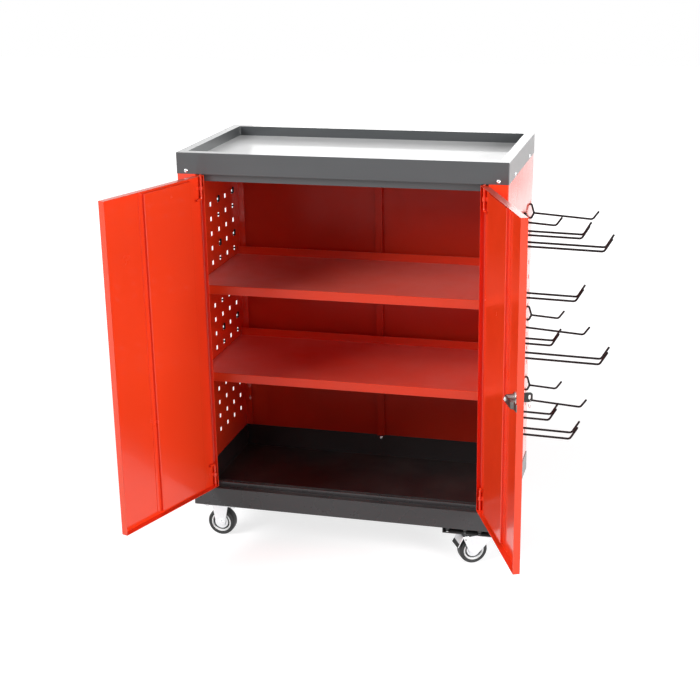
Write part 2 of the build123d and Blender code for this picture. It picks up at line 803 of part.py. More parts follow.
# ---------------------------------------------------------------- caster channels
def caster_channel(side):
    """Open channel under the base with a tab at each end below the skirt's flange."""
    hand = -1 if side == "left" else 1
    near = front + channel_from_front[side]
    far = back - channel_from_front["right"]
    middle_x = hand * (half_w - channel_inset - channel_width / 2)
    with BuildPart() as channel:
        with BuildSketch(Plane.XY.offset(channel_bottom)):
            with Locations((middle_x, (near + far) / 2)):
                Rectangle(channel_width, far - near)
        extrude(amount=channel_drop)
        with BuildSketch(Plane.XY.offset(channel_bottom + channel_sheet)):
            with Locations((middle_x, (near + far) / 2)):
                Rectangle(channel_width - 2 * channel_sheet, far - near)
        extrude(amount=channel_drop, mode=Mode.SUBTRACT)
        with BuildSketch(Plane.XY.offset(ground_gap - channel_sheet)):
            with Locations((middle_x, near + channel_tab / 2), (middle_x, far - channel_tab / 2)):
                Rectangle(channel_width, channel_tab)
        extrude(amount=channel_sheet)
        with BuildSketch(Plane.XY.offset(channel_bottom)):
            with Locations(*channel_bolt_places(side), *plate_bolt_places(hand)):
                Circle(bolt_radius)
        extrude(amount=channel_drop, mode=Mode.SUBTRACT)
    return channel


save(caster_channel("left"), "left_caster_channel")
save(caster_channel("right"), "right_caster_channel")

# ---------------------------------------------------------------- casters
# Rigid casters on the left; swivelling casters with a foot brake on the right.
leg_inner = wheel_width / 2 + fork_air
leg_outer = leg_inner + fork_sheet


def wheel_side(x, y, heading):
    """Side view of a caster: +X along the heading from its middle, +Y up, origin on the floor."""
    along = (math.cos(math.radians(heading)), math.sin(math.radians(heading)), 0)
    return Plane(origin=(x, y, 0), x_dir=along, z_dir=(along[1], -along[0], 0))


def wheel(side, trail, name):
    """Tyre, wheel body and axle bolt of one caster."""
    with BuildPart() as tyre:
        with BuildSketch(side):
            with Locations((trail, wheel_radius)):
                Circle(wheel_radius)
        extrude(amount=wheel_width / 2, both=True)
        fillet(tyre.edges(), tyre_round)
        with BuildSketch(side):
            with Locations((trail, wheel_radius)):
                Circle(rim_radius)
        extrude(amount=wheel_width, both=True, mode=Mode.SUBTRACT)
    save(tyre, f"{name}_tyre")

    with BuildPart() as rim:
        with BuildSketch(side):
            with Locations((trail, wheel_radius)):
                Circle(rim_radius)
        extrude(amount=wheel_width / 2 - rim_inset, both=True)
        for hand in (-1, 1):
            with BuildSketch(side.offset(hand * (wheel_width / 2 - web_inset))):
                with Locations((trail, wheel_radius)):
                    Circle(rim_radius - rim_lip)
                    Circle(hub_radius, mode=Mode.SUBTRACT)
            extrude(amount=hand * web_inset, mode=Mode.SUBTRACT)
        with BuildSketch(side):
            with Locations((trail, wheel_radius)):
                Circle(axle_radius + axle_fit)
        extrude(amount=wheel_width, both=True, mode=Mode.SUBTRACT)
    save(rim, f"{name}_rim")

    with BuildPart() as axle:
        with BuildSketch(side):
            with Locations((trail, wheel_radius)):
                Circle(axle_radius)
        extrude(amount=leg_outer, both=True)
        for hand in (-1, 1):
            with BuildSketch(side.offset(hand * leg_outer)):
                with Locations((trail, wheel_radius)):
                    RegularPolygon(axle_head, 6)
            extrude(amount=hand * axle_radius)
            with BuildSketch(side.offset(hand * (wheel_width / 2 - rim_inset + small))):
                with Locations((trail, wheel_radius)):
                    Circle(hub_radius - race_lip)
            extrude(amount=hand * (leg_inner - wheel_width / 2 + rim_inset - small))
    save(axle, f"{name}_axle")


def rigid_caster(name, y):
    """Plate with two fixed legs and its wheel."""
    hand = -1
    side = wheel_side(hand * caster_x, y, 180.0)
    with BuildPart() as fork:
        with BuildSketch(Plane.XY.offset(plate_bottom)):
            with Locations((hand * caster_x, y)):
                RectangleRounded(caster_plate_x, caster_plate_y, plate_corner)
            with Locations(*plate_bolt_places(hand, (y,))):
                Circle(bolt_radius, mode=Mode.SUBTRACT)
        extrude(amount=caster_plate)
        for place in (-leg_outer, leg_inner):
            with BuildSketch(side.offset(place)):
                with Locations((0, wheel_radius)):
                    Circle(leg_end)
                with Locations((0, plate_bottom - leg_root / 2)):
                    Rectangle(rigid_leg_wide, leg_root)
                make_hull()
                with Locations((0, wheel_radius)):
                    Circle(axle_radius, mode=Mode.SUBTRACT)
            extrude(amount=fork_sheet)
    save(fork, f"{name}_fork")
    wheel(side, 0.0, name)


def swivel_caster(name, y, heading):
    """Plate with a race, kingpin, turning fork, wheel and foot brake."""
    hand = 1
    middle = (hand * caster_x, y)
    side = wheel_side(*middle, heading)
    race_low = crown_bottom + fork_sheet
    race_top = plate_bottom - race_low
    with BuildPart() as plate:
        with BuildSketch(Plane.XY.offset(plate_bottom)):
            with Locations(middle):
                RectangleRounded(caster_plate_x, caster_plate_y, plate_corner)
            with Locations(*plate_bolt_places(hand, (y,))):
                Circle(bolt_radius, mode=Mode.SUBTRACT)
        extrude(amount=caster_plate)
        with BuildSketch(Plane.XY.offset(race_low + race_high)):
            with Locations(middle):
                Circle(race_radius + race_lip)
        extrude(amount=race_top - race_high)
        with BuildSketch(Plane.XY.offset(race_low)):
            with Locations(middle):
                Circle(king_radius)
        extrude(amount=race_top + caster_plate, mode=Mode.SUBTRACT)
    save(plate, f"{name}_plate")

    with BuildPart() as kingpin:
        with BuildSketch(Plane.XY.offset(crown_bottom - small - king_head_high)):
            with Locations(middle):
                Circle(king_head)
        extrude(amount=king_head_high)
        with BuildSketch(Plane.XY.offset(crown_bottom - small)):
            with Locations(middle):
                Circle(king_radius)
        extrude(amount=channel_bottom - crown_bottom + small)
    save(kingpin, f"{name}_kingpin")

    with BuildPart() as fork:
        with BuildSketch(Plane(origin=(*middle, crown_bottom), x_dir=side.x_dir, z_dir=(0, 0, 1))):
            with Locations((swivel_leg_shift, 0)):
                Rectangle(swivel_leg_wide, 2 * leg_outer)
        extrude(amount=fork_sheet)
        with BuildSketch(Plane.XY.offset(race_low)):
            with Locations(middle):
                Circle(race_radius)
        extrude(amount=race_high - small)
        for place in (-leg_outer, leg_inner):
            with BuildSketch(side.offset(place)):
                with Locations((swivel_trail, wheel_radius)):
                    Circle(leg_end)
                with Locations((swivel_leg_shift, race_low - leg_root / 2)):
                    Rectangle(swivel_leg_wide, leg_root)
                with Locations((pedal_pivot_r, pedal_pivot_z)):
                    Circle(pedal_ear)
                make_hull()
                with Locations((swivel_trail, wheel_radius)):
                    Circle(axle_radius, mode=Mode.SUBTRACT)
                with Locations((pedal_pivot_r, pedal_pivot_z)):
                    Circle(pedal_pin + axle_fit, mode=Mode.SUBTRACT)
            extrude(amount=fork_sheet)
        with BuildSketch(Plane.XY.offset(crown_bottom)):
            with Locations(middle):
                Circle(king_radius + axle_fit)
        extrude(amount=race_top, mode=Mode.SUBTRACT)
    save(fork, f"{name}_fork")
    wheel(side, swivel_trail, name)

    half_pedal = leg_outer + small + pedal_sheet
    pedal_top = pedal_pivot_z + pedal_lift
    with BuildPart() as pedal:
        with BuildSketch(side.offset(-half_pedal)):
            fold(
                [
                    (pedal_pivot_r - pedal_back, pedal_top),
                    (pedal_pivot_r + pedal_nose, pedal_top),
                    (pedal_pivot_r + pedal_reach, pedal_pivot_z - pedal_fall),
                ],
                side=Side.RIGHT,
                thick=pedal_sheet,
            )
        extrude(amount=2 * half_pedal)
        for place in (-half_pedal, half_pedal - pedal_sheet):
            with BuildSketch(side.offset(place)):
                with Locations((pedal_pivot_r, pedal_pivot_z)):
                    Circle(pedal_cheek)
                with Locations((pedal_pivot_r + (pedal_nose - pedal_back) / 2, pedal_top - pedal_sheet)):
                    Rectangle(pedal_nose + pedal_back, sheet)
                make_hull()
            extrude(amount=pedal_sheet)
        with BuildSketch(side):
            with Locations((pedal_pivot_r, pedal_pivot_z)):
                Circle(pedal_pin)
        extrude(amount=half_pedal, both=True)
    save(pedal, f"{name}_brake")


rigid_caster("front_left_caster", -caster_y)
rigid_caster("rear_left_caster", caster_y)
swivel_caster("front_right_caster", -caster_y, swivel_heading["front"])
swivel_caster("rear_right_caster", caster_y, swivel_heading["rear"])

# ---------------------------------------------------------------- screws and bolts
# Pan-head screws through the tray skirt and the body sheet behind it.
with BuildPart() as tray_screws:
    for place in tray_screws_at:
        with BuildSketch(place):
            Circle(screw_head)
        extrude(amount=screw_head_high, taper=screw_head_taper)
        with BuildSketch(place):
            Circle(screw_radius)
        extrude(amount=-screw_long)
save(tray_screws, "tray_screws")

# Screw through the rear wall of the pan and the seam of the back panels, head inside.
pan_wall = Plane(origin=(seam_x, pan_rear - sheet, ground_gap + pan_screw_z), z_dir=(0, -1, 0))
with BuildPart() as pan_screw:
    with BuildSketch(pan_wall):
        Circle(screw_head)
    extrude(amount=screw_head_high, taper=screw_head_taper)
    with BuildSketch(pan_wall):
        Circle(screw_radius)
    extrude(amount=-(back - sheet - pan_rear + sheet))
save(pan_screw, "pan_screw")

# Channel bolts: flat head on the skirt's flange, nut below the tab of the channel.
with BuildPart() as channel_bolts:
    with BuildSketch(Plane.XY.offset(panel_bottom)):
        with Locations(*channel_bolt_places("left"), *channel_bolt_places("right")):
            Circle(bolt_head_radius)
    extrude(amount=sheet)
    with BuildSketch(Plane.XY.offset(panel_bottom)):
        with Locations(*channel_bolt_places("left"), *channel_bolt_places("right")):
            Circle(bolt_radius)
    extrude(amount=-(sheet + channel_sheet))
    with BuildSketch(Plane.XY.offset(ground_gap - channel_sheet)):
        with Locations(*channel_bolt_places("left"), *channel_bolt_places("right")):
            RegularPolygon(bolt_head_radius, 6)
    extrude(amount=-nut_high)
save(channel_bolts, "channel_bolts")

# Caster bolts: hexagon head below the plate, nut inside the channel.
with BuildPart() as caster_bolts:
    with BuildSketch(Plane.XY.offset(plate_bottom)):
        with Locations(*plate_bolt_places(-1), *plate_bolt_places(1)):
            RegularPolygon(bolt_head_radius, 6)
    extrude(amount=-bolt_head)
    with BuildSketch(Plane.XY.offset(plate_bottom)):
        with Locations(*plate_bolt_places(-1), *plate_bolt_places(1)):
            Circle(bolt_radius)
    extrude(amount=caster_plate + channel_sheet)
    with BuildSketch(Plane.XY.offset(channel_bottom + channel_sheet)):
        with Locations(*plate_bolt_places(-1), *plate_bolt_places(1)):
            RegularPolygon(bolt_head_radius, 6)
    extrude(amount=nut_high)
save(caster_bolts, "caster_bolts")
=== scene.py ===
import math

import bmesh
import bpy
from mathutils import Euler, Matrix, Vector


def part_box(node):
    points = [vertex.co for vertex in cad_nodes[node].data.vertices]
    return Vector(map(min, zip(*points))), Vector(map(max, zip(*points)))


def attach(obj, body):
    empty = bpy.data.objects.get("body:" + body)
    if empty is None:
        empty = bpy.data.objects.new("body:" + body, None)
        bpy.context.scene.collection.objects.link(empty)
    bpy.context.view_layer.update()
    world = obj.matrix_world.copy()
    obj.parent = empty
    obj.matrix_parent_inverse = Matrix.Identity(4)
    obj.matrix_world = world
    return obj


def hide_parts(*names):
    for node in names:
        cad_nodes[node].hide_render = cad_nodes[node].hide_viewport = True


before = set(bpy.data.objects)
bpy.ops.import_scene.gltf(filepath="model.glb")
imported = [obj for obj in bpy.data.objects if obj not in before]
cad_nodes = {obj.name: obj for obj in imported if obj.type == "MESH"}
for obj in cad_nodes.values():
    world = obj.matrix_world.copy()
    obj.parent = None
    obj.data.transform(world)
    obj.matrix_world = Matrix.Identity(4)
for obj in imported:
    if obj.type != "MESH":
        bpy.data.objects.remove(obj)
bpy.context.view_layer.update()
mm = 0.001


# ---- Studio
# A white floor that runs into a white surround. Broad soft lamps stand left and right of the
# viewer and behind the cabinet, where the gloss of the paint picks them up.
def give(tree, node, inputs):
    """Sets a node's inputs by name, each to a value or to another node's socket."""
    for name, value in inputs.items():
        if isinstance(value, bpy.types.NodeSocket):
            tree.links.new(value, node.inputs[name])
        else:
            node.inputs[name].default_value = value


def fit(tree, kind, inputs=None, **settings):
    """Adds a node with its settings and inputs."""
    made = tree.nodes.new(kind)
    for name, value in settings.items():
        setattr(made, name, value)
    give(tree, made, inputs or {})
    return made


def maths(tree, operation, first, second, clamp=False):
    """One sum on two values; gives its result."""
    made = fit(tree, "ShaderNodeMath", {0: first, 1: second}, operation=operation, use_clamp=clamp)
    return made.outputs[0]


def scaled_sum(tree, value, factor, base, clamp=False):
    """The value times a factor, plus a base."""
    return maths(tree, "ADD", maths(tree, "MULTIPLY", value, factor), base, clamp)


def from_range(tree, value, low, high, start=0.0, end=1.0):
    """Start at low and end at high, held between them."""
    made = fit(tree, "ShaderNodeMapRange", {
        "Value": value, "From Min": low, "From Max": high, "To Min": start, "To Max": end})
    return made.outputs["Result"]


def two_tone(tree, factor, first, second):
    """Mixes two colours by a factor; each is (red, green, blue) or a socket."""
    first, second = ((*tone, 1) if isinstance(tone, tuple) else tone for tone in (first, second))
    return fit(tree, "ShaderNodeMix", {0: factor, 6: first, 7: second}, data_type="RGBA").outputs[2]


def ray_kind(tree):
    """1 for what the camera sees straight, and 1 for what it sees in gloss or through glass."""
    rays = fit(tree, "ShaderNodeLightPath").outputs
    return rays["Is Camera Ray"], maths(tree, "MAXIMUM", rays["Is Glossy Ray"], rays["Is Transmission Ray"])


def bare_material(name):
    """A new material, its node tree and its shader."""
    material = bpy.data.materials.new(name)
    material.use_nodes = True
    return material, material.node_tree, material.node_tree.nodes["Principled BSDF"]


def linked(name, data):
    """A new object in the scene."""
    made = bpy.data.objects.new(name, data)
    scene.collection.objects.link(made)
    return made


def axes_at(origin, x_way, y_way, z_way):
    """The frame with these three directions at a place."""
    return Matrix.Translation(origin) @ Matrix((x_way, y_way, z_way)).transposed().to_4x4()


scene = bpy.context.scene
scene.view_settings.view_transform = "Standard"
look_around, look_down, look_roll = (math.radians(angle) for angle in (15.116, 18.124, -0.960))
lens_at = Vector((0.748, -2.881, 1.3945))
level = Vector((math.cos(look_around), math.sin(look_around), 0))
forward = Vector((
    -math.sin(look_around) * math.cos(look_down),
    math.cos(look_around) * math.cos(look_down),
    -math.sin(look_down),
))
upright = level.cross(forward)
picture_right = math.cos(look_roll) * level + math.sin(look_roll) * upright
picture_up = math.cos(look_roll) * upright - math.sin(look_roll) * level
camera_data = bpy.data.cameras.new("view_camera")
camera_data.lens = 71.63
camera_data.sensor_width = 36
camera = linked("view_camera", camera_data)
camera.matrix_world = axes_at(lens_at, picture_right, picture_up, -forward)
scene.camera = camera


def soft_lamp(name, place, target, wide, high, watts):
    """A broad flat lamp that the camera doesn't see."""
    data = bpy.data.lights.new(name, "AREA")
    data.shape = "RECTANGLE"
    data.size = wide
    data.size_y = high
    data.energy = watts
    lamp = linked(name, data)
    lamp.location = place
    lamp.rotation_euler = (Vector(target) - Vector(place)).to_track_quat("-Z", "Y").to_euler()
    lamp.visible_camera = False


soft_lamp("left_lamp", (-2.7, -2.7, 2.6), (0, -0.3, 0.4), 1.8, 1.8, 164)
soft_lamp("right_lamp", (3.4, -1.8, 1.3), (0, -0.3, 0.4), 1.8, 1.6, 124)
soft_lamp("wall_lamp", (1.2, 3.6, 1.7), (0, 0, 0.9), 6.4, 2.6, 100)

# The surround is white to the eye and in reflections, and lights the cabinet only faintly.
ambient = 0.07
surround = bpy.data.worlds.new("white_surround")
surround.use_nodes = True
scene.world = surround
tree = surround.node_tree
straight, mirrored = ray_kind(tree)
give(tree, tree.nodes["Background"], {
    "Color": (1, 1, 1, 1),
    "Strength": maths(tree, "MAXIMUM", maths(tree, "MAXIMUM", straight, mirrored), ambient)})

# The floor glows a little more with its distance from the cabinet, until it meets the surround.
floor_half = 9
floor_mesh = bpy.data.meshes.new("studio_floor")
floor_corners = [(x * floor_half, y * floor_half, 0) for x, y in ((-1, -1), (1, -1), (1, 1), (-1, 1))]
floor_mesh.from_pydata(floor_corners, [], [(0, 1, 2, 3)])
floor = linked("studio_floor", floor_mesh)
floor_paint, tree, shader = bare_material("white_floor")
straight, mirrored = ray_kind(tree)
mottle = fit(tree, "ShaderNodeTexNoise", {"Scale": 3.0, "Detail": 3.0}).outputs["Fac"]
spot = fit(tree, "ShaderNodeTexCoord").outputs["Object"]
distance = fit(tree, "ShaderNodeVectorMath", {0: spot}, operation="LENGTH").outputs["Value"]
rearward = fit(tree, "ShaderNodeSeparateXYZ", {0: spot}).outputs["Y"]
glow_straight = maths(tree, "MULTIPLY", straight, from_range(tree, distance, 0.7, 2.4, 0.74, 1.0))
glow_mirrored = maths(tree, "MULTIPLY", mirrored, from_range(tree, rearward, -0.2, 0.8, 0.72, 0.95))
give(tree, shader, {
    "Base Color": two_tone(tree, mottle, (0.44, 0.44, 0.445), (0.48, 0.48, 0.48)),
    "Roughness": 0.85, "Specular IOR Level": 0.1, "Emission Color": (1, 1, 1, 1),
    "Emission Strength": maths(tree, "ADD", glow_straight, glow_mirrored)})
floor_mesh.materials.append(floor_paint)


# ---- Base skirt and base pan
# Two folded trays of 1 mm steel, stoved in near-black powder paint, darker than the tray's grey: partly
# the paint's own colour and partly painted shade of the low base. The pan's copy is darker still and
# uncoated, painted shade deep inside the skirt. The skirt carries the whole cabinet; the deep pan
# stands on its flange and closes the bottom.
def effect(name, inputs, outputs):
    """A shader group with its named inputs and outputs: the tree, what it is given, and its result."""
    group = bpy.data.node_groups.new(name, "ShaderNodeTree")
    for label, value in inputs.items():
        socket = group.interface.new_socket(label, in_out="INPUT", socket_type="NodeSocketFloat")
        socket.default_value = value
    for label, kind in outputs.items():
        group.interface.new_socket(label, in_out="OUTPUT", socket_type="NodeSocket" + kind)
    return group, group.nodes.new("NodeGroupInput").outputs, group.nodes.new("NodeGroupOutput")


def use(tree, group, inputs=None):
    """Adds a shader group; gives its outputs."""
    return fit(tree, "ShaderNodeGroup", inputs, node_tree=group).outputs


def grain_noise(tree, scale, detail, stretch=None):
    """Noise on the piece's own coordinates, in grains per metre."""
    place = fit(tree, "ShaderNodeTexCoord").outputs["Object"]
    if stretch:
        place = fit(tree, "ShaderNodeMapping", {"Vector": place, "Scale": stretch}).outputs["Vector"]
    made = fit(tree, "ShaderNodeTexNoise", {"Vector": place, "Scale": scale, "Detail": detail})
    return made.outputs["Fac"]


# Rounded look of a folded or sheared edge, and the thin paint along it.
edge_rub, given, result = effect(
    "edge_rub", {"Reach": 0.001, "Amount": 0.5}, {"Normal": "Vector", "Wear": "Float"})
turned_normal = fit(edge_rub, "ShaderNodeBevel", {"Radius": given["Reach"]}, samples=6).outputs["Normal"]
flat_normal = fit(edge_rub, "ShaderNodeNewGeometry").outputs["Normal"]
facing = fit(edge_rub, "ShaderNodeVectorMath", {0: turned_normal, 1: flat_normal}, operation="DOT_PRODUCT")
near_edge = from_range(edge_rub, facing.outputs["Value"], 0.985, 0.80)
patchy = from_range(edge_rub, grain_noise(edge_rub, 55.0, 4.0), 0.40, 0.66)
worn = maths(edge_rub, "MULTIPLY", near_edge, patchy)
give(edge_rub, result, {
    "Normal": turned_normal, "Wear": maths(edge_rub, "MULTIPLY", worn, given["Amount"], True)})

# Fine orange peel of powder paint on sheet that is never quite flat, and its slow drift of tone.
paint_skin, given, result = effect(
    "paint_skin", {"Peel": 900.0, "Waves": 7.0, "Dish": 6.0},
    {"Height": "Float", "Drift": "Float", "Haze": "Float"})
peel = grain_noise(paint_skin, given["Peel"], 2.0)
dishing = maths(paint_skin, "MULTIPLY", grain_noise(paint_skin, given["Waves"], 1.0), given["Dish"])
give(paint_skin, result, {
    "Height": maths(paint_skin, "ADD", peel, dishing),
    "Drift": from_range(paint_skin, grain_noise(paint_skin, 2.6, 3.0), 0.30, 0.70),
    "Haze": from_range(paint_skin, grain_noise(paint_skin, 19.0, 5.0), 0.42, 0.74)})

# Dust that settles on what faces up, in soft patches with a few specks.
settled_dust, given, result = effect("settled_dust", {"Amount": 0.3}, {"Mask": "Float"})
lying = fit(settled_dust, "ShaderNodeNewGeometry").outputs["Normal"]
lift = fit(settled_dust, "ShaderNodeSeparateXYZ", {0: lying}).outputs["Z"]
upward = from_range(settled_dust, lift, 0.55, 0.98)
patches = from_range(settled_dust, grain_noise(settled_dust, 11.0, 6.0), 0.38, 0.72)
specks = from_range(settled_dust, grain_noise(settled_dust, 420.0, 2.0), 0.66, 0.74)
cover = maths(settled_dust, "MULTIPLY", maths(settled_dust, "MAXIMUM", patches, specks), upward)
give(settled_dust, result, {"Mask": maths(settled_dust, "MULTIPLY", cover, given["Amount"], True)})


def powder_paint(name, tone, deeper, thin, dust_tone, gloss, haze, coat, dust, shine=0.5, bloom=0.0):
    """Stoved powder paint: drifting tone, orange peel, thin rubbed edges and settled dust."""
    material, tree, shader = bare_material(name)
    skin = use(tree, paint_skin)
    edges = use(tree, edge_rub, {"Reach": 0.9 * mm, "Amount": 0.55})
    dusty = use(tree, settled_dust, {"Amount": dust})["Mask"]
    body = two_tone(tree, edges["Wear"], two_tone(tree, skin["Drift"], tone, deeper), thin)
    matt = scaled_sum(tree, skin["Haze"], haze, gloss)
    bump = fit(tree, "ShaderNodeBump", {
        "Height": skin["Height"], "Normal": edges["Normal"], "Strength": 1.0, "Distance": 0.03 * mm})
    give(tree, shader, {
        "Base Color": two_tone(tree, dusty, body, dust_tone),
        "Roughness": maths(tree, "ADD", matt, maths(tree, "MULTIPLY", dusty, 0.35), True),
        "Normal": bump.outputs["Normal"], "IOR": 1.5, "Specular IOR Level": shine,
        "Sheen Weight": bloom, "Sheen Roughness": 0.35, "Coat Weight": coat, "Coat Roughness": 0.05})
    return material


def finish(names, material):
    """Gives carried-over nodes their finish."""
    for name in names:
        mesh = cad_nodes[name].data
        mesh.materials.clear()
        mesh.materials.append(material)


# Near-black paint, darker than the tray's grey: the paint's own dark and painted shade of the low base.
black_paint = powder_paint(
    "black_paint", (0.030, 0.030, 0.032), (0.037, 0.037, 0.039), (0.08, 0.08, 0.08), (0.20, 0.19, 0.18),
    gloss=0.26, haze=0.10, coat=0.15, dust=0.16)
# The pan's copy, darker and without coat: painted shade deep inside the skirt.
shaded_pan_paint = powder_paint(
    "shaded_pan_paint", (0.022, 0.021, 0.022), (0.030, 0.029, 0.030), (0.08, 0.08, 0.08), (0.16, 0.15, 0.14),
    gloss=0.30, haze=0.12, coat=0.0, dust=0.22)
finish(["base_skirt"], black_paint)
finish(["base_pan"], shaded_pan_paint)


# ---- Caster channels and their bolts
# Two open channels of 1.5 mm steel in the same black paint, bolted up to the flange of the skirt.
# Their bolts are painted with them, and those of the casters are zinc-plated with hexagon heads.
# Each nut has a thin washer under it.
finish(["left_caster_channel", "right_caster_channel"], black_paint)

# Fine crystals and drawing lines of a zinc-plated surface.
plated_grain, given, result = effect(
    "plated_grain", {"Crystals": 700.0, "Lines": 60.0},
    {"Tone": "Float", "Matt": "Float", "Height": "Float"})
where = fit(plated_grain, "ShaderNodeTexCoord").outputs["Object"]
crystals = fit(plated_grain, "ShaderNodeTexVoronoi", {"Vector": where, "Scale": given["Crystals"]})
crystal_tone = fit(plated_grain, "ShaderNodeSeparateXYZ", {0: crystals.outputs["Color"]}).outputs["X"]
drawn = grain_noise(plated_grain, given["Lines"], 5.0, (1.0, 1.0, 14.0))
give(plated_grain, result, {
    "Tone": scaled_sum(plated_grain, crystal_tone, 0.35, maths(plated_grain, "MULTIPLY", drawn, 0.65)),
    "Matt": from_range(plated_grain, grain_noise(plated_grain, 130.0, 5.0), 0.30, 0.75),
    "Height": drawn})


def plated(name, tone, deeper, gloss, matt, crystals=700.0, lines=60.0, reach=0.4):
    """Plating on steel: crystal grain, drawing lines, dull patches and edges softened by reach mm."""
    material, tree, shader = bare_material(name)
    grain = use(tree, plated_grain, {"Crystals": crystals, "Lines": lines})
    edges = use(tree, edge_rub, {"Reach": reach * mm})
    bump = fit(tree, "ShaderNodeBump", {
        "Height": grain["Height"], "Normal": edges["Normal"], "Strength": 1.0, "Distance": 0.01 * mm})
    give(tree, shader, {
        "Base Color": two_tone(tree, edges["Wear"], two_tone(tree, grain["Tone"], tone, deeper),
                               (0.9, 0.9, 0.9)),
        "Metallic": 1.0, "Roughness": scaled_sum(tree, grain["Matt"], matt, gloss, True),
        "Normal": bump.outputs["Normal"]})
    return material


zinc = plated("zinc", (0.80, 0.81, 0.82), (0.66, 0.67, 0.68), gloss=0.24, matt=0.16)


def close_up(mesh, sharp=32.0):
    """Merges a mesh's doubles, turns its faces outwards, and shades it smooth but for its sharp edges."""
    work = bmesh.new()
    work.from_mesh(mesh)
    bmesh.ops.remove_doubles(work, verts=work.verts, dist=1e-6)
    bmesh.ops.recalc_face_normals(work, faces=work.faces)
    for face in work.faces:
        face.smooth = True
    for edge in work.edges:
        edge.smooth = not (len(edge.link_faces) == 2 and edge.calc_face_angle() > math.radians(sharp))
    work.to_mesh(mesh)
    work.free()
    return mesh


def as_mesh(shape, name):
    """Turns a finished bmesh into a mesh; a mesh stays as it is."""
    if isinstance(shape, bpy.types.Mesh):
        return shape
    mesh = bpy.data.meshes.new(name)
    shape.to_mesh(mesh)
    shape.free()
    return close_up(mesh)


def joined(name, *shapes):
    """Several shapes as one mesh."""
    work = bmesh.new()
    for shape in shapes:
        work.from_mesh(as_mesh(shape, name + "_part"))
    return as_mesh(work, name)


def piece(name, shape, material, body, slot, *replaced):
    """Puts a finished shape in the scene, on its body, for the nodes it stands for."""
    mesh = as_mesh(shape, name)
    mesh.materials.clear()
    mesh.materials.append(material)
    made = linked(name, mesh)
    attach(made, body)
    if replaced:
        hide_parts(*replaced)


def turned(work, profile, steps, place=None):
    """Turns a (radius, height) profile in mm round Z and places it; one off the axis makes a ring."""
    place = place or Matrix.Identity(4)
    angles = [2 * math.pi * step / steps for step in range(steps)]
    rings = []
    for radius, high in profile:
        radius, high = radius * mm, high * mm
        around = angles if radius else [0]
        rings.append([work.verts.new(place @ Vector((radius * math.cos(a), radius * math.sin(a), high)))
                      for a in around])
    pairs = list(zip(rings, rings[1:]))
    if len(rings[0]) > 1 and len(rings[-1]) > 1:
        pairs.append((rings[-1], rings[0]))
    for low, top in pairs:
        for step in range(steps):
            after = (step + 1) % steps
            corners = [low[step % len(low)], low[after % len(low)], top[after % len(top)],
                       top[step % len(top)]]
            corners = list(dict.fromkeys(corners))
            if len(corners) > 2:
                work.faces.new(corners)
    return work


def turned_pair(profile, steps, place):
    """A turned shape and its mirror image below the middle."""
    work = bmesh.new()
    for flip in (1, -1):
        turned(work, [(radius, flip * out) for radius, out in profile], steps, place)
    return work


def hexagon_ring(across, low, high):
    """Hexagon head or nut between two heights in mm, its upper corners turned off."""
    work = bmesh.new()
    across, low, high = across * mm, low * mm, high * mm
    base, shoulder, crown = [], [], []
    steps, chamfer = 36, 0.55
    round_off = across / 2 * 0.97
    for step in range(steps):
        angle = 2 * math.pi * step / steps
        reach = across / 2 / math.cos((angle + math.pi / 6) % (math.pi / 3) - math.pi / 6)
        drop = max(reach - round_off, 0) * chamfer
        corner = Vector((math.cos(angle), math.sin(angle), 0))
        base.append(work.verts.new(corner * reach + Vector((0, 0, low))))
        shoulder.append(work.verts.new(corner * reach + Vector((0, 0, high - drop - 0.02 * across))))
        crown.append(work.verts.new(corner * min(reach, round_off) + Vector((0, 0, high))))
    for first, second in ((base, shoulder), (shoulder, crown)):
        for step in range(steps):
            after = (step + 1) % steps
            work.faces.new((first[step], first[after], second[after], second[step]))
    work.faces.new(list(reversed(base)))
    work.faces.new(crown)
    return work


def block(work, low, high):
    """A flat strip or plate between two corners in mm."""
    low, high = (Vector([value * mm for value in corner]) for corner in (low, high))
    made = bmesh.ops.create_cube(work, size=1.0)
    middle, span = (low + high) / 2, high - low
    for vertex in made["verts"]:
        vertex.co = Vector((vertex.co.x * span.x, vertex.co.y * span.y, vertex.co.z * span.z)) + middle
    return work


def carried(work, place):
    """Moves a whole bmesh by a matrix."""
    bmesh.ops.transform(work, matrix=place, verts=work.verts)
    return work


def inputs_of(group, named):
    """Names a geometry tree's inputs, (kind, default) for each: what it is given, and its result."""
    group.interface.new_socket("Geometry", in_out="INPUT", socket_type="NodeSocketGeometry")
    for label, (kind, value) in named.items():
        socket = group.interface.new_socket(label, in_out="INPUT", socket_type="NodeSocket" + kind)
        if value is not None:
            socket.default_value = value
    group.interface.new_socket("Geometry", in_out="OUTPUT", socket_type="NodeSocketGeometry")
    return group.nodes.new("NodeGroupInput").outputs, group.nodes.new("NodeGroupOutput")


def applied(body):
    """A plain mesh of an object with its modifiers in force; the object is removed."""
    graph = bpy.context.evaluated_depsgraph_get()
    mesh = bpy.data.meshes.new_from_object(body.evaluated_get(graph), depsgraph=graph)
    bpy.data.objects.remove(body)
    return mesh


def grown(name, seed_mesh, group, values):
    """Runs a geometry tree on a seed mesh and keeps the result as a plain mesh."""
    seed = linked(name + "_seed", seed_mesh)
    step = seed.modifiers.new("grow", "NODES")
    step.node_group = group
    for socket in group.interface.items_tree:
        if socket.item_type == "SOCKET" and socket.in_out == "INPUT" and socket.name in values:
            step[socket.identifier] = values[socket.name]
    mesh = applied(seed)
    mesh.name = name
    return mesh


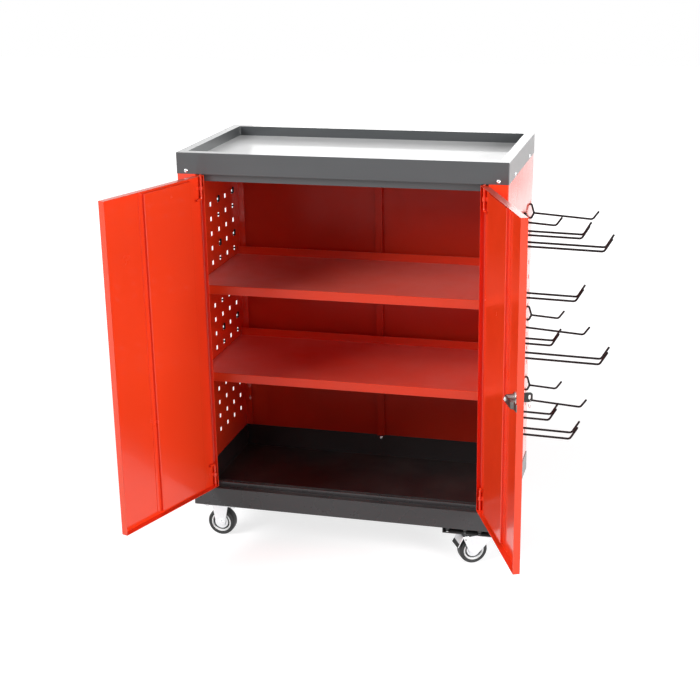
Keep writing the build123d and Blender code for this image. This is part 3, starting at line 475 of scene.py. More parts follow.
# Hardware tree: one pattern at every seed point, its foot on the point, along the point's direction.
hardware = bpy.data.node_groups.new("hardware_rows", "GeometryNodeTree")
given, result = inputs_of(hardware, {"Pattern": ("Object", None), "Turn Seed": ("Int", 3)})
chosen = fit(hardware, "GeometryNodeObjectInfo", {"Object": given["Pattern"]})
aim = fit(hardware, "GeometryNodeInputNamedAttribute", {"Name": "aim"}, data_type="FLOAT_VECTOR")
aligned = fit(hardware, "FunctionNodeAlignRotationToVector", {"Vector": aim.outputs["Attribute"]}, axis="Z")
spin = fit(hardware, "FunctionNodeRandomValue", {2: 0.0, 3: 2 * math.pi, "Seed": given["Turn Seed"]},
           data_type="FLOAT")
own_turn = fit(hardware, "ShaderNodeCombineXYZ", {"Z": spin.outputs[1]})
as_rotation = fit(hardware, "FunctionNodeEulerToRotation", {0: own_turn.outputs[0]})
turn = fit(hardware, "FunctionNodeRotateRotation", {
    "Rotation": aligned.outputs["Rotation"], "Rotate By": as_rotation.outputs[0]}, rotation_space="LOCAL")
placed = fit(hardware, "GeometryNodeInstanceOnPoints", {
    "Points": given["Geometry"], "Instance": chosen.outputs["Geometry"],
    "Rotation": turn.outputs["Rotation"]})
solid = fit(hardware, "GeometryNodeRealizeInstances", {"Geometry": placed.outputs["Instances"]})
give(hardware, result, {"Geometry": solid.outputs["Geometry"]})


def fixings(name, shape, places, seed):
    """A mesh of one pattern repeated at (point in mm, direction) places."""
    points = bpy.data.meshes.new(name + "_points")
    points.from_pydata([[value * mm for value in place] for place, _ in places], [], [])
    aims = points.attributes.new("aim", "FLOAT_VECTOR", "POINT")
    for item, (_, direction) in zip(aims.data, places):
        item.vector = direction
    return close_up(grown(name, points, hardware, {"Pattern": shape, "Turn Seed": seed}))


hex_across, nut_high = 9.7, 4.5
flange_z, tab_under, channel_floor, plate_under = 91.0, 88.5, 78.5, 74.5
caster_x, caster_y = 303.0, 135.0
bolt_along, bolt_across = 31, 13
half_deep, channel_inset, tab_middle = 185.0, 3.0, 6.0

# Patterns that the hardware tree repeats; they are removed at the end.
nut_work = hexagon_ring(hex_across, 0.6, nut_high)
turned(nut_work, [(0, 0), (5.5, 0), (5.5, 0.6), (0, 0.6)], 30)
turned(nut_work, [(0, nut_high - 1), (2.75, nut_high - 1), (2.75, nut_high + 0.4), (2.2, nut_high + 0.9),
                  (0, nut_high + 0.9)], 20)
nut_shape = linked("nut_shape", as_mesh(nut_work, "nut_shape"))
head_shape = linked("head_shape", as_mesh(hexagon_ring(hex_across, 0, 3.6), "head_shape"))
saucer_work = turned(bmesh.new(), [(0, 0), (5.6, 0), (5.6, 0.35), (4.6, 0.9), (3.0, 1.0), (1.9, 0.6),
                                   (0, 0.6)], 28)
saucer_shape = linked("saucer_shape", as_mesh(saucer_work, "saucer_shape"))

down, up = Vector((0, 0, -1)), Vector((0, 0, 1))
tab_places = []
for hand, from_front in ((-1, 32.0), (1, channel_inset)):
    near = -half_deep + from_front + tab_middle
    far = half_deep - channel_inset - tab_middle
    tab_places += [(hand * x, y) for y in (near, far) for x in (229.0, 267.0, 300.0)]
piece("channel_bolts_detail", joined(
    "channel_bolts_detail",
    fixings("tab_nuts", nut_shape, [((x, y, tab_under), down) for x, y in tab_places], 4),
    fixings("tab_heads", saucer_shape, [((x, y, flange_z), up) for x, y in tab_places], 5),
), black_paint, "cabinet", "black_paint", "channel_bolts")

plate_places = [(hand * caster_x + along * bolt_along, end * caster_y + across * bolt_across)
                for hand in (-1, 1) for end in (-1, 1) for along in (-1, 1) for across in (-1, 1)]
piece("caster_bolts_detail", joined(
    "caster_bolts_detail",
    fixings("plate_heads", head_shape, [((x, y, plate_under), down) for x, y in plate_places], 6),
    fixings("plate_nuts", nut_shape, [((x, y, channel_floor), up) for x, y in plate_places], 7),
), zinc, "cabinet", "zinc", "caster_bolts")


# ---- Perforated side panels
# Each side is one sheet of 1 mm steel, punched with 7 by 17 square slots for the hooks, then
# folded into the front post and the rear flange, and stoved in glossy red.
red_paint = powder_paint(
    "red_paint", (0.93, 0.058, 0.013), (0.88, 0.048, 0.010), (0.95, 0.16, 0.09), (0.72, 0.24, 0.18),
    gloss=0.14, haze=0.08, coat=0.45, dust=0.08)

post_edge, panel_outer = 309.0, 349.0
stop_plane, post_front, back_inner = -170.0, -184.0, 183.0
panel_foot, panel_top = 91.0, 867.0
rear_flange, roof_flange, roof_reach = 16.0, 30.0, 168.0
sheet = 1.0
column_pitch, row_pitch, slots_middle = 48.0, 33.7, 470.0


def eased(points, radius, steps):
    """Rounds the corners of an open line; radius is cut back from each corner."""
    line = [Vector(points[0])]
    for before, corner, after in zip(points, points[1:], points[2:]):
        before, corner, after = Vector(before), Vector(corner), Vector(after)
        cut = min(radius, (before - corner).length * 0.49, (after - corner).length * 0.49)
        start = corner + (before - corner).normalized() * cut
        end = corner + (after - corner).normalized() * cut
        for step in range(steps + 1):
            t = step / steps
            line.append(start * (1 - t) ** 2 + corner * 2 * t * (1 - t) + end * t * t)
    line.append(Vector(points[-1]))
    return line


def folded(line, thick, low, high):
    """Upright folded sheet: a line of its outer face in plan, its thickness to the left of the line."""
    work = bmesh.new()
    inner = []
    for index, point in enumerate(line):
        before = line[max(index - 1, 0)]
        after = line[min(index + 1, len(line) - 1)]
        first = (point - before).normalized() if index else (after - point).normalized()
        second = (after - point).normalized() if index < len(line) - 1 else first
        first_out = Vector((-first.y, first.x))
        out = (first_out + Vector((-second.y, second.x))).normalized()
        inner.append(point + out / max(out.dot(first_out), 0.5) * thick)
    rails = []
    for z in (low, high):
        rails.append(([work.verts.new((p.x, p.y, z)) for p in line],
                      [work.verts.new((p.x, p.y, z)) for p in inner]))
    (low_out, low_in), (high_out, high_in) = rails
    for i in range(len(line) - 1):
        work.faces.new((low_out[i], low_out[i + 1], high_out[i + 1], high_out[i]))
        work.faces.new((low_in[i], high_in[i], high_in[i + 1], low_in[i + 1]))
        work.faces.new((low_out[i], low_in[i], low_in[i + 1], low_out[i + 1]))
        work.faces.new((high_out[i], high_out[i + 1], high_in[i + 1], high_in[i]))
    for i in (0, -1):
        work.faces.new((low_out[i], high_out[i], high_in[i], low_in[i]))
    return work


# Punching tree: a grid of square slots with eased corners, cut through the wall of the seed sheet.
punched = bpy.data.node_groups.new("punched_slots", "GeometryNodeTree")
given, result = inputs_of(punched, {
    "Columns": ("Int", 7), "Rows": ("Int", 17), "Column Pitch": ("Float", column_pitch * mm),
    "Row Pitch": ("Float", row_pitch * mm), "Slot": ("Float", 0.010), "Corner": ("Float", 0.0008),
    "Wall": ("Float", panel_outer * mm), "Middle": ("Float", slots_middle * mm)})


def span_of(count, pitch):
    """Length of a row of slots between its first and last middle."""
    return maths(punched, "MULTIPLY", maths(punched, "SUBTRACT", count, 1.0), pitch)


grid = fit(punched, "GeometryNodeMeshGrid", {
    "Size X": span_of(given["Columns"], given["Column Pitch"]),
    "Size Y": span_of(given["Rows"], given["Row Pitch"]),
    "Vertices X": given["Columns"], "Vertices Y": given["Rows"]})
outline = fit(punched, "GeometryNodeCurvePrimitiveQuadrilateral",
              {"Width": given["Slot"], "Height": given["Slot"]})
soft_corners = fit(punched, "GeometryNodeFilletCurve", {
    "Curve": outline.outputs["Curve"], "Radius": given["Corner"], "Count": 3}, mode="POLY")
stroke = fit(punched, "GeometryNodeCurvePrimitiveLine", {"Start": (0, 0, -0.006), "End": (0, 0, 0.006)})
punch = fit(punched, "GeometryNodeCurveToMesh", {
    "Curve": stroke.outputs["Curve"], "Profile Curve": soft_corners.outputs["Curve"], "Fill Caps": True})
ranks = fit(punched, "GeometryNodeInstanceOnPoints",
            {"Points": grid.outputs["Mesh"], "Instance": punch.outputs["Mesh"]})
ranks_solid = fit(punched, "GeometryNodeRealizeInstances", {"Geometry": ranks.outputs["Instances"]})
wall_place = fit(punched, "ShaderNodeCombineXYZ", {"X": given["Wall"], "Z": given["Middle"]})
stood = fit(punched, "GeometryNodeTransform", {
    "Geometry": ranks_solid.outputs["Geometry"], "Translation": wall_place.outputs[0],
    "Rotation": Euler((math.radians(90), 0, math.radians(90)))})
holed = fit(punched, "GeometryNodeMeshBoolean",
            {"Mesh 1": given["Geometry"], "Mesh 2": stood.outputs["Geometry"]},
            operation="DIFFERENCE", solver="EXACT")
whole = fit(punched, "GeometryNodeRealizeInstances", {"Geometry": holed.outputs["Mesh"]})
give(punched, result, {"Geometry": whole.outputs["Geometry"]})

for side, hand in (("left", -1), ("right", 1)):
    plan = ((post_edge, stop_plane), (post_edge, post_front), (panel_outer, post_front),
            (panel_outer, back_inner), (panel_outer - rear_flange, back_inner))
    plan_line = eased([(x * mm, y * mm) for x, y in plan], 1.5 * mm, 4)
    unpunched = folded(plan_line, sheet * mm, panel_foot * mm, panel_top * mm)
    for vertex in unpunched.verts:
        vertex.co.x *= hand
    name = side + "_side_wall"
    wall = grown(name, as_mesh(unpunched, side + "_side_sheet"), punched, {"Wall": hand * panel_outer * mm})
    roof = block(bmesh.new(), (hand * (panel_outer - sheet), -roof_reach, panel_top - sheet),
                 (hand * (panel_outer - roof_flange), roof_reach, panel_top))
    piece(name, joined(name, wall, roof), red_paint, "cabinet", "red_paint", side + "_side_panel")


# ---- Back panels and seam strip
# Two red sheets on the rear flanges of the sides. Their inner edges turn in at the seam, and a
# narrow channel is pressed over both. Their red is the sides' red painted darker, as painted shade
# of the deep inside of the cabinet, and it has less gloss.
# Painted shade: the sides' red made darker for the back of the cabinet.
shaded_red_paint = powder_paint(
    "shaded_red_paint", (0.64, 0.040, 0.013), (0.57, 0.034, 0.011), (0.95, 0.16, 0.09), (0.55, 0.14, 0.10),
    gloss=0.30, haze=0.10, coat=0.0, dust=0.10, shine=0.22)
finish(["left_back_panel", "right_back_panel", "back_seam_strip"], shaded_red_paint)


# ---- Shelves and clips
# Two folded red trays with a down-turned front lip and a raised rear lip. They rest on small
# zinc-plated clips hooked into the side slots.
shelf_paint = powder_paint(
    "shelf_paint", (0.90, 0.058, 0.014), (0.84, 0.050, 0.011), (0.95, 0.20, 0.12), (0.74, 0.30, 0.25),
    gloss=0.30, haze=0.10, coat=0.06, dust=0.16, shine=0.4, bloom=0.35)
finish(["upper_shelf", "lower_shelf"], shelf_paint)
finish(["shelf_clips"], zinc)


# ---- Top tray and top rail
# The tray is pressed in one from grey-painted steel: outer skirt, flat rim and sunken floor. The
# rail behind its skirt holds the upper hinge pins and stops the doors.
grey_paint = powder_paint(
    "grey_paint", (0.058, 0.063, 0.067), (0.068, 0.073, 0.077), (0.16, 0.16, 0.16), (0.28, 0.28, 0.27),
    gloss=0.29, haze=0.05, coat=0.4, dust=0.05, bloom=0.72)
finish(["top_tray", "top_rail"], grey_paint)


# ---- Tray and pan screws
# Zinc-plated pan-head screws with a cross recess. Eight hold the tray skirt to the posts and
# panels, and one ties the pan to the back seam.
def cut_with(name, shape, tool_work):
    """Cuts a tool shape out of a shape."""
    tool = linked(name + "_tool", as_mesh(tool_work, name + "_tool"))
    body = linked(name, as_mesh(shape, name))
    step = body.modifiers.new("cut", "BOOLEAN")
    step.operation = "DIFFERENCE"
    step.solver = "EXACT"
    step.object = tool
    cut = applied(body)
    bpy.data.objects.remove(tool)
    return close_up(cut)


screw_radius, screw_high = 4.2, 2.4
arm_long, arm_wide, arm_foot = 2.3, 0.42, 0.9
dome = [(screw_radius * out, screw_high * up_by) for out, up_by in (
    (0, 0.98), (0.35, 0.97), (0.62, 0.86), (0.84, 0.60), (0.96, 0.28), (1, 0), (0, 0))]
head_mesh = as_mesh(turned(bmesh.new(), dome, 32), "pan_head")
for name, x, y in (("pan_head_a", arm_long, arm_wide), ("pan_head_b", arm_wide, arm_long)):
    head_mesh = cut_with(name, head_mesh, block(bmesh.new(), (-x, -y, arm_foot), (x, y, 3)))
screw_shape = linked("screw_shape", head_mesh)
screw_zinc = plated("screw_zinc", (0.86, 0.87, 0.88), (0.74, 0.75, 0.76), gloss=0.16, matt=0.12, reach=0.3)

skirt_x, screw_x, screw_y, screw_z = 350.0, 329, 103, 851.0
screw_places = []
for hand in (-1, 1):
    screw_places += [((hand * screw_x, end * half_deep, screw_z), (0, end, 0)) for end in (-1, 1)]
    screw_places += [((hand * skirt_x, end * screw_y, screw_z), (hand, 0, 0)) for end in (-1, 1)]
piece("tray_screw_heads", fixings("tray_screw_heads", screw_shape, screw_places, 11), screw_zinc,
      "cabinet", "zinc", "tray_screws")
pan_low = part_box("pan_screw")[0]
pan_screw_place = ((-4, pan_low.y / mm + screw_high, 138), (0, -1, 0))
piece("pan_screw_head", fixings("pan_screw_head", screw_shape, [pan_screw_place], 2), screw_zinc,
      "cabinet", "zinc", "pan_screw")


# ---- Doors
# Each door is a folded tray of 1 mm red sheet with a wide hat-section stiffener spot-welded
# inside. Pins through its flanges are its hinges, and a small block inside holds each pin.
door_paint = powder_paint(
    "door_paint", (0.95, 0.062, 0.014), (0.90, 0.052, 0.011), (0.97, 0.18, 0.10), (0.76, 0.26, 0.19),
    gloss=0.20, haze=0.08, coat=0.25, dust=0.05)
finish([side + part for part in ("_door", "_door_stiffener", "_pin_guides", "_hinge_pins")
        for side in ("left", "right")], door_paint)


# ---- Cam lock, key and ring
# A nickel-plated screw-in lock in the right door: threaded barrel, hexagon nut, turning plug
# with a cranked cam, and a key with a black moulded bow on a thin split ring.
nickel = plated("nickel", (0.72, 0.71, 0.69), (0.56, 0.55, 0.53), gloss=0.14, matt=0.14, crystals=1500.0,
                lines=90.0)
bright_steel = plated("bright_steel", (0.80, 0.80, 0.80), (0.66, 0.66, 0.66), gloss=0.12, matt=0.10,
                      crystals=1500.0)
cast_zinc = plated("cast_zinc", (0.50, 0.50, 0.49), (0.36, 0.36, 0.35), gloss=0.30, matt=0.20,
                   crystals=900.0)
dull_steel = plated("dull_steel", (0.20, 0.19, 0.18), (0.12, 0.115, 0.11), gloss=0.36, matt=0.16,
                    crystals=900.0)

open_angle = math.radians(113.5)
door_along = Vector((-math.cos(open_angle), -math.sin(open_angle), 0))
door_inward = Vector((-math.sin(open_angle), math.cos(open_angle), 0))
lock_along, lock_z = 248, 481
lock_at = (Vector((300, -178.5, lock_z)) + door_along * lock_along) * mm
lock_frame = axes_at(lock_at, door_along, door_inward.cross(door_along), door_inward)

thread = [(8.5, -6), (11, -6), (11, -7.1), (10.6, -7.5), (8.0, -7.5), (7.56, -7.2), (7.56, -6.1),
          (6.06, -6.0), (6.06, 14), (8.0, 14)]
for turn_count in range(14):
    crest = 13.4 - 1.3 * turn_count
    thread += [(8.5, crest), (8.5, crest - 0.35), (7.75, crest - 0.75), (7.75, crest - 0.9)]
piece("lock_barrel_detail", turned(bmesh.new(), thread, 40, lock_frame), cast_zinc, "right_door", "nickel",
      "lock_barrel")

nut = carried(hexagon_ring(22.5, -5, -1.1), lock_frame)
bore = turned(bmesh.new(), [(0, -8), (7.7, -8), (7.7, 3), (0, 3)], 40, lock_frame)
piece("lock_nut_detail", cut_with("lock_nut_detail", nut, bore), nickel, "right_door", "nickel",
      "lock_nut")

plug = turned(bmesh.new(), [(0, 14.05), (5.9, 14.05), (6.0, 13.8), (6.0, -6.2), (7.5, -6.2), (7.5, -7.1),
                            (7.2, -7.4), (0, -7.4)], 40, lock_frame)
keyway = carried(block(bmesh.new(), (-1.15, -4.1, -9), (1.15, 4.1, 8.4)), lock_frame)
tang = carried(block(bmesh.new(), (-3.5, -3.5, 14.0), (3.5, 3.5, 16.1)), lock_frame)
piece("lock_plug_detail", joined("lock_plug_detail", cut_with("lock_plug_detail", plug, keyway), tang),
      nickel, "lock_plug", "nickel", "lock_plug")


def softened(name, source, width, segments=2):
    """A carried-over node's mesh, merged, with its hard edges rolled over by a width in mm."""
    work = bmesh.new()
    work.from_mesh(cad_nodes[source].data)
    bmesh.ops.remove_doubles(work, verts=work.verts, dist=2e-6)
    bmesh.ops.dissolve_limit(work, angle_limit=math.radians(0.4), verts=work.verts, edges=work.edges)
    mesh = bpy.data.meshes.new(name)
    work.to_mesh(mesh)
    work.free()
    body = linked(name, mesh)
    step = body.modifiers.new("roll", "BEVEL")
    step.width = width * mm
    step.segments = segments
    step.limit_method = "ANGLE"
    step.angle_limit = math.radians(32.0)
    step.use_clamp_overlap = True
    rolled = applied(body)
    rolled.name = name
    return close_up(rolled, 40.0)


piece("lock_cam_detail", softened("lock_cam_detail", "lock_cam", 0.3), dull_steel, "lock_plug",
      "zinc", "lock_cam")
cam_head = [(0, 18.0), (1.6, 18.0), (2.0, 18.7), (3.9, 18.6), (4.7, 17.9), (5.0, 16.9), (5.0, 16.1),
            (0, 16.1)]
piece("cam_screw_head", turned(bmesh.new(), cam_head, 32, lock_frame), screw_zinc, "lock_plug", "zinc",
      "cam_screw")


def grained(tree, shader, factor, first, second, cover, cover_tone, matt, gloss, height, lift, normal=None):
    """Two tones by a factor under a covering tone, with the factor's dullness and a bump of lift mm."""
    bump = fit(tree, "ShaderNodeBump", {"Height": height, "Distance": lift * mm})
    if normal:
        give(tree, bump, {"Normal": normal})
    give(tree, shader, {
        "Base Color": two_tone(tree, cover, two_tone(tree, factor, first, second), cover_tone),
        "Roughness": scaled_sum(tree, factor, matt, gloss), "Normal": bump.outputs["Normal"]})


# The key: a flat blade with cut teeth and a rounded black bow with an oval hole.
moulded_black, tree, shader = bare_material("moulded_black")
scuffs = from_range(tree, grain_noise(tree, 160.0, 6.0, (1.0, 1.0, 0.2)), 0.58, 0.74)
edges = use(tree, edge_rub, {"Reach": 0.5 * mm})
grained(tree, shader, scuffs, (0.012, 0.012, 0.013), (0.035, 0.035, 0.036), edges["Wear"],
        (0.06, 0.06, 0.06), matt=0.2, gloss=0.32, height=grain_noise(tree, 1500.0, 3.0), lift=0.04,
        normal=edges["Normal"])

blade = bmesh.new()
cuts = [(-18.5, 4.0), (8.0, 4.0), (8.4, 3.0), (8.4, -2.4), (7.0, -3.9), (6.0, -2.6), (4.6, -2.6),
        (3.6, -3.8), (2.4, -2.1), (1.0, -2.1), (0.0, -3.6), (-1.2, -2.8), (-2.4, -2.8), (-3.4, -4.0),
        (-18.5, -4.0)]
front_face, rear_face = ([blade.verts.new(lock_frame @ (Vector((side, high, deep)) * mm))
                          for deep, high in cuts] for side in (-1.0, 1.0))
blade.faces.new(front_face)
blade.faces.new(list(reversed(rear_face)))
for index in range(len(cuts)):
    after = (index + 1) % len(cuts)
    blade.faces.new((front_face[index], rear_face[index], rear_face[after], front_face[after]))
piece("key_bow", softened("key_bow", "key", 0.7, 3), moulded_black, "lock_plug", "key_plastic", "key")
piece("key_blade", blade, nickel, "lock_plug", "nickel")

# Wire tree: every line of the seed becomes a round wire with rounded ends.
drawn_wire = bpy.data.node_groups.new("drawn_wire", "GeometryNodeTree")
given, result = inputs_of(drawn_wire, {"Wire Radius": ("Float", 0.002), "Sides": ("Int", 14)})
run = fit(drawn_wire, "GeometryNodeMeshToCurve", {"Mesh": given["Geometry"]})
section = fit(drawn_wire, "GeometryNodeCurvePrimitiveCircle",
              {"Resolution": given["Sides"], "Radius": given["Wire Radius"]})
round_wire = fit(drawn_wire, "GeometryNodeCurveToMesh", {
    "Curve": run.outputs["Curve"], "Profile Curve": section.outputs["Curve"], "Fill Caps": True})
bead = fit(drawn_wire, "GeometryNodeMeshUVSphere",
           {"Segments": 14, "Rings": 8, "Radius": given["Wire Radius"]})
ends = fit(drawn_wire, "GeometryNodeCurveEndpointSelection", {"Start Size": 1, "End Size": 1})
beads = fit(drawn_wire, "GeometryNodeInstanceOnPoints", {
    "Points": run.outputs["Curve"], "Selection": ends.outputs["Selection"],
    "Instance": bead.outputs["Mesh"]})
both = fit(drawn_wire, "GeometryNodeJoinGeometry", {"Geometry": round_wire.outputs["Mesh"]})
give(drawn_wire, both, {"Geometry": beads.outputs["Instances"]})
solid = fit(drawn_wire, "GeometryNodeRealizeInstances", {"Geometry": both.outputs["Geometry"]})
give(drawn_wire, result, {"Geometry": solid.outputs["Geometry"]})


def wires(name, lines, radius, sides=14):
    """Round wires of a radius in mm along lines of points."""
    seed = bpy.data.meshes.new(name + "_lines")
    points, edges_of = [], []
    for line in lines:
        first = len(points)
        points += [tuple(point) for point in line]
        edges_of += [(first + index, first + index + 1) for index in range(len(line) - 1)]
    seed.from_pydata(points, edges_of, [])
    return close_up(grown(name, seed, drawn_wire, {"Wire Radius": radius * mm, "Sides": sides}), 50.0)


# Two turns of wire side by side, the second a little wider, as a split ring lies.
ring_low, ring_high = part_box("key_ring")
ring_middle = (ring_low + ring_high) / 2
coil_steps = 72
coil = []
for step in range(coil_steps + 1):
    angle = math.radians(90 + step * 10)
    reach = 8.55 if step > coil_steps / 2 else 8.35
    on_ring = Vector((reach * math.cos(angle), reach * math.sin(angle), (step / coil_steps - 0.5) * 0.9))
    coil.append(ring_middle + lock_frame.to_3x3() @ (on_ring * mm))
piece("key_split_ring", wires("key_split_ring", [coil], 0.42, 8), bright_steel, "lock_plug",
      "bright_steel", "key_ring")


# ---- Wire hooks
# Hooks of 4.6 mm steel wire, bent cold and dipped in satin black. A V-shaped base hangs through two
# slots; one or two prongs are welded to it and turn up at the end.
wire_black, tree, shader = bare_material("wire_black")
dip = grain_noise(tree, 240.0, 3.0)
chips = from_range(tree, grain_noise(tree, 330.0, 5.0), 0.70, 0.74)
grained(tree, shader, dip, (0.006, 0.006, 0.007), (0.013, 0.013, 0.014), chips, (0.07, 0.07, 0.07),
        matt=0.16, gloss=0.50, height=dip, lift=0.08)
give(tree, shader, {"Specular IOR Level": 0.25})

# Each hook is its slot column, its upper slot row, its reach in mm and its number of prongs.
hook_tables = {
    "right_hooks_top": [(3, 8, 137.0, 1), (1, 8, 68.0, 1), (-1, 8, 134.0, 2), (-3, 8, 188.0, 2)],
    "right_hooks_middle": [(-1, 4, 126.0, 2), (3, 1, 69.0, 1), (1, 1, 135.0, 1), (-1, 1, 78.5, 2),
                           (-3, 1, 188.0, 2)],
    "right_hooks_bottom": [(3, -4, 68.0, 1), (1, -4, 134.0, 1), (-1, -4, 78.0, 2), (-3, -4, 133.5, 2)],
    "left_hooks": [(column, upper, 68.0, 1) for upper in (8, 5, 2, -1) for column in (3, 1)],
}
hook_wire, single_root, half_pair = 2.3, 9.0, 18
half_slot, wire_rest, prong_drop = 5.0, 2.35, 5.3

# For one prong and for two: its root, its droop in degrees, and how far its tip goes out and up.
prong_shapes = {1: (single_root, 4.0, 12.0, 17.0), 2: (11.3, 1.3, 15.0, 25.5)}


def prong_height(upper):
    """Height of a prong, a little below the middle of its two slots."""
    return slots_middle + (upper - 0.5) * row_pitch - prong_drop


def hook_lines(hand, table):
    """Centre lines of the hooks of one row: a base and one or two prongs for each."""
    lines = []
    for column, upper, reach, prongs in table:
        y = column * column_pitch
        high = slots_middle + upper * row_pitch
        low, middle = high - row_pitch, prong_height(upper)
        sill = high - half_slot + wire_rest
        base = [(-3.4, high + 9.0), (-3.4, sill), (3.5, sill), (single_root, middle), (3.5, low),
                (-1.9, low)]
        root, droop, tip_out, tip_up = prong_shapes[prongs]
        end = (reach + 1.0, middle - (reach - root) * math.tan(math.radians(droop)))
        tip = (end[0] + tip_out, end[1] + tip_up)
        prong = [(root, middle), end, tip]
        if prongs == 1:
            run_line = [(out, y, z) for out, z in prong]
        else:
            run_line = [(out, y + half_pair, z) for out, z in reversed(prong)]
            run_line += [(out, y - half_pair, z) for out, z in prong]
        for line, ease in (([(out, y, z) for out, z in base], 2.6), (run_line, 5.0)):
            line = [(hand * (panel_outer + out) * mm, at * mm, z * mm) for out, at, z in line]
            lines.append(eased(line, ease * mm, 6))
    return lines


def weld_beads(hand, table):
    """Small weld bead where a single prong meets its base."""
    work = bmesh.new()
    for column, upper, _, prongs in table:
        if prongs == 1:
            root_x = hand * (panel_outer + single_root)
            bead_at = Vector((root_x, column * column_pitch, prong_height(upper))) * mm
            ball = bmesh.ops.create_icosphere(work, subdivisions=2, radius=3.4 * mm)
            for vertex in ball["verts"]:
                vertex.co = Vector((vertex.co.x * 0.95, vertex.co.y, vertex.co.z * 1.02)) + bead_at
    return work


for name, table in hook_tables.items():
    hand = -1 if "left" in name else 1
    row = joined(name + "_wire", wires(name + "_run", hook_lines(hand, table), hook_wire),
                 weld_beads(hand, table))
    piece(name + "_wire", row, wire_black, "cabinet", "black_wire", name)


# ---- Casters
# Zinc-plated pressed forks on bolted plates: fixed on the left, turning on a ball race with a foot
# brake on the right. Each wheel is a black rubber tyre on a pale moulded centre, whitened further as a
# painted glint, with a pressed cap; on either side a black rubber ring in the groove round the cap is
# painted shade.
caster_zinc = plated("caster_zinc", (0.90, 0.91, 0.92), (0.78, 0.79, 0.81), gloss=0.34, matt=0.16,
                     reach=0.6)

rubber, tree, shader = bare_material("tyre_rubber")
bloom = from_range(tree, grain_noise(tree, 90.0, 6.0), 0.40, 0.72)
dusty = use(tree, settled_dust, {"Amount": 0.35})["Mask"]
grained(tree, shader, bloom, (0.014, 0.015, 0.015), (0.026, 0.027, 0.027), dusty, (0.12, 0.115, 0.11),
        matt=0.18, gloss=0.48, height=grain_noise(tree, 1900.0, 2.0), lift=0.05)

# Pale moulded centre made near white: its own pale plastic, and a painted glint of its lip ring.
pale_wheel_and_glint, tree, shader = bare_material("pale_wheel_and_glint")
flow = grain_noise(tree, 70.0, 4.0)
specks = from_range(tree, grain_noise(tree, 700.0, 4.0), 0.62, 0.70)
grained(tree, shader, flow, (0.84, 0.85, 0.85), (0.89, 0.90, 0.90), specks, (0.66, 0.66, 0.66),
        matt=0.2, gloss=0.28, height=flow, lift=0.2)


def mirrored_profile(half):
    """A closed ring profile from its half on the near side."""
    return half + [(radius, -high) for radius, high in half[-2:0:-1]]


tyre_profile = mirrored_profile([
    (23.05, 0.0), (23.05, 11.3), (23.6, 12.1), (24.6, 12.5), (25.4, 12.5), (25.9, 12.1), (26.4, 12.1),
    (26.9, 12.45), (28.2, 12.3), (29.5, 11.7), (30.5, 10.6), (31.1, 9.0), (31.35, 6.5), (31.45, 3.2),
    (31.5, 0.0),
])
rim_profile = mirrored_profile([
    (4.1, 0.0), (4.1, 10.6), (4.6, 11.0), (7.4, 11.0), (7.9, 10.6), (8.2, 7.4), (17.2, 6.6), (18.4, 6.9),
    (19.3, 8.6), (19.6, 11.2), (20.2, 12.0), (22.2, 12.0), (22.8, 11.5), (22.95, 10.8), (22.95, 0.0),
])
cap_profile = [
    (8.4, 8.6), (9.6, 10.2), (11.5, 11.0), (13.6, 11.0), (15.2, 10.3), (16.1, 8.6), (16.3, 7.2),
    (15.9, 7.1), (15.6, 8.4), (14.9, 9.8), (13.5, 10.5), (11.6, 10.5), (9.9, 9.7), (8.8, 8.4),
]
# A dark ring in the groove round the cap, on either side: painted shade of that groove.
groove_shade_profile = [
    (16.0, 6.7), (16.0, 7.6), (16.6, 8.1), (17.3, 7.9), (17.9, 8.1), (18.6, 8.6), (19.1, 8.5),
    (19.2, 7.4), (18.0, 6.6),
]
rivet_profile = [(0, 19.1), (1.6, 19.0), (2.7, 18.6), (2.9, 18.1), (0, 18.1)]

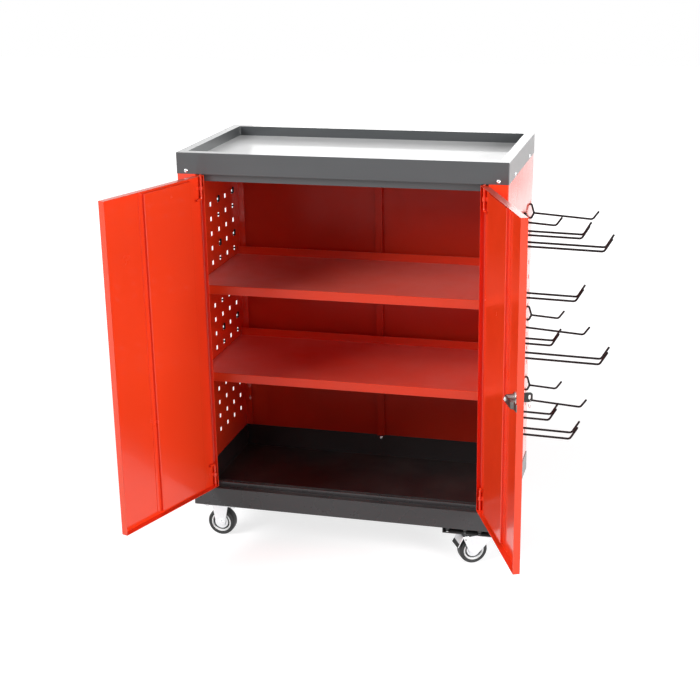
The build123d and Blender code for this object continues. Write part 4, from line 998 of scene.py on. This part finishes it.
# The pedal, measured from the hub along the fork and up: its pivot, and the bend and run of its tread.
fork_roll, sheet_roll = 0.5, 0.4
pedal_pivot, tread_bend = Vector((20.0, 30.5, 0)) * mm, Vector((26.0, 37.5, 0)) * mm
tread_way, tread_out = Vector((0.476, -0.879, 0)), Vector((0.879, 0.476, 0))
headings = {"front_left_caster": 180.0, "rear_left_caster": 180.0, "front_right_caster": 210.0,
            "rear_right_caster": 150.0}
for name, heading in headings.items():
    turns = "right" in name
    low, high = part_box(name + "_rim")
    along = Vector((math.cos(math.radians(heading)), math.sin(math.radians(heading)), 0))
    across = Vector((along.y, -along.x, 0))
    wheel_frame = axes_at((low + high) / 2, along, across.cross(along), across)
    wheel_body, brake_body = name.replace("_caster", "_wheel"), name.replace("_caster", "_brake")
    fork_body = name.replace("_caster", "_swivel") if turns else "cabinet"
    piece(name + "_tread", turned(bmesh.new(), tyre_profile, 72, wheel_frame), rubber, wheel_body,
          "tyre_rubber", name + "_tyre")
    piece(name + "_centre", turned(bmesh.new(), rim_profile, 64, wheel_frame), pale_wheel_and_glint, wheel_body,
          "wheel_plastic", name + "_rim")
    piece(name + "_hub_caps", turned_pair(cap_profile, 56, wheel_frame), caster_zinc, wheel_body, "zinc")
    # Black rings that paint the groove's shade on either side of the wheel.
    piece(name + "_dust_seals", turned_pair(groove_shade_profile, 56, wheel_frame), rubber, wheel_body,
          "tyre_rubber")
    pressed = [("fork", fork_body, fork_roll), ("axle", fork_body, sheet_roll)]
    if turns:
        pressed += [("plate", "cabinet", sheet_roll), ("kingpin", "cabinet", sheet_roll)]
    for pressing, body, roll in pressed:
        label = f"{name}_{pressing}_detail"
        piece(label, softened(label, f"{name}_{pressing}", roll), caster_zinc, body, "zinc",
              f"{name}_{pressing}")
    if turns:
        piece(name + "_pedal", softened(name + "_pedal", name + "_brake", sheet_roll), caster_zinc,
              brake_body, "zinc", name + "_brake")
        pad = block(bmesh.new(), (19.0, -2.1, -17.4), (27.9, 0.9, 17.4))
        for rib in range(3):
            block(pad, (20.6 + 2.4 * rib, 0.4, -16.6), (21.8 + 2.4 * rib, 1.4, 16.6))
        bmesh.ops.bevel(pad, geom=list(pad.edges), offset=0.35 * mm, segments=2, affect="EDGES")
        carried(pad, wheel_frame @ axes_at(tread_bend, tread_way, tread_out, down))
        piece(name + "_pedal_pad", pad, rubber, brake_body, "tyre_rubber")
        rivets = turned_pair(rivet_profile, 24, wheel_frame @ Matrix.Translation(pedal_pivot))
        piece(name + "_pedal_rivets", rivets, cast_zinc, brake_body, "zinc")

for spare in (nut_shape, head_shape, saucer_shape, screw_shape):
    bpy.data.objects.remove(spare)
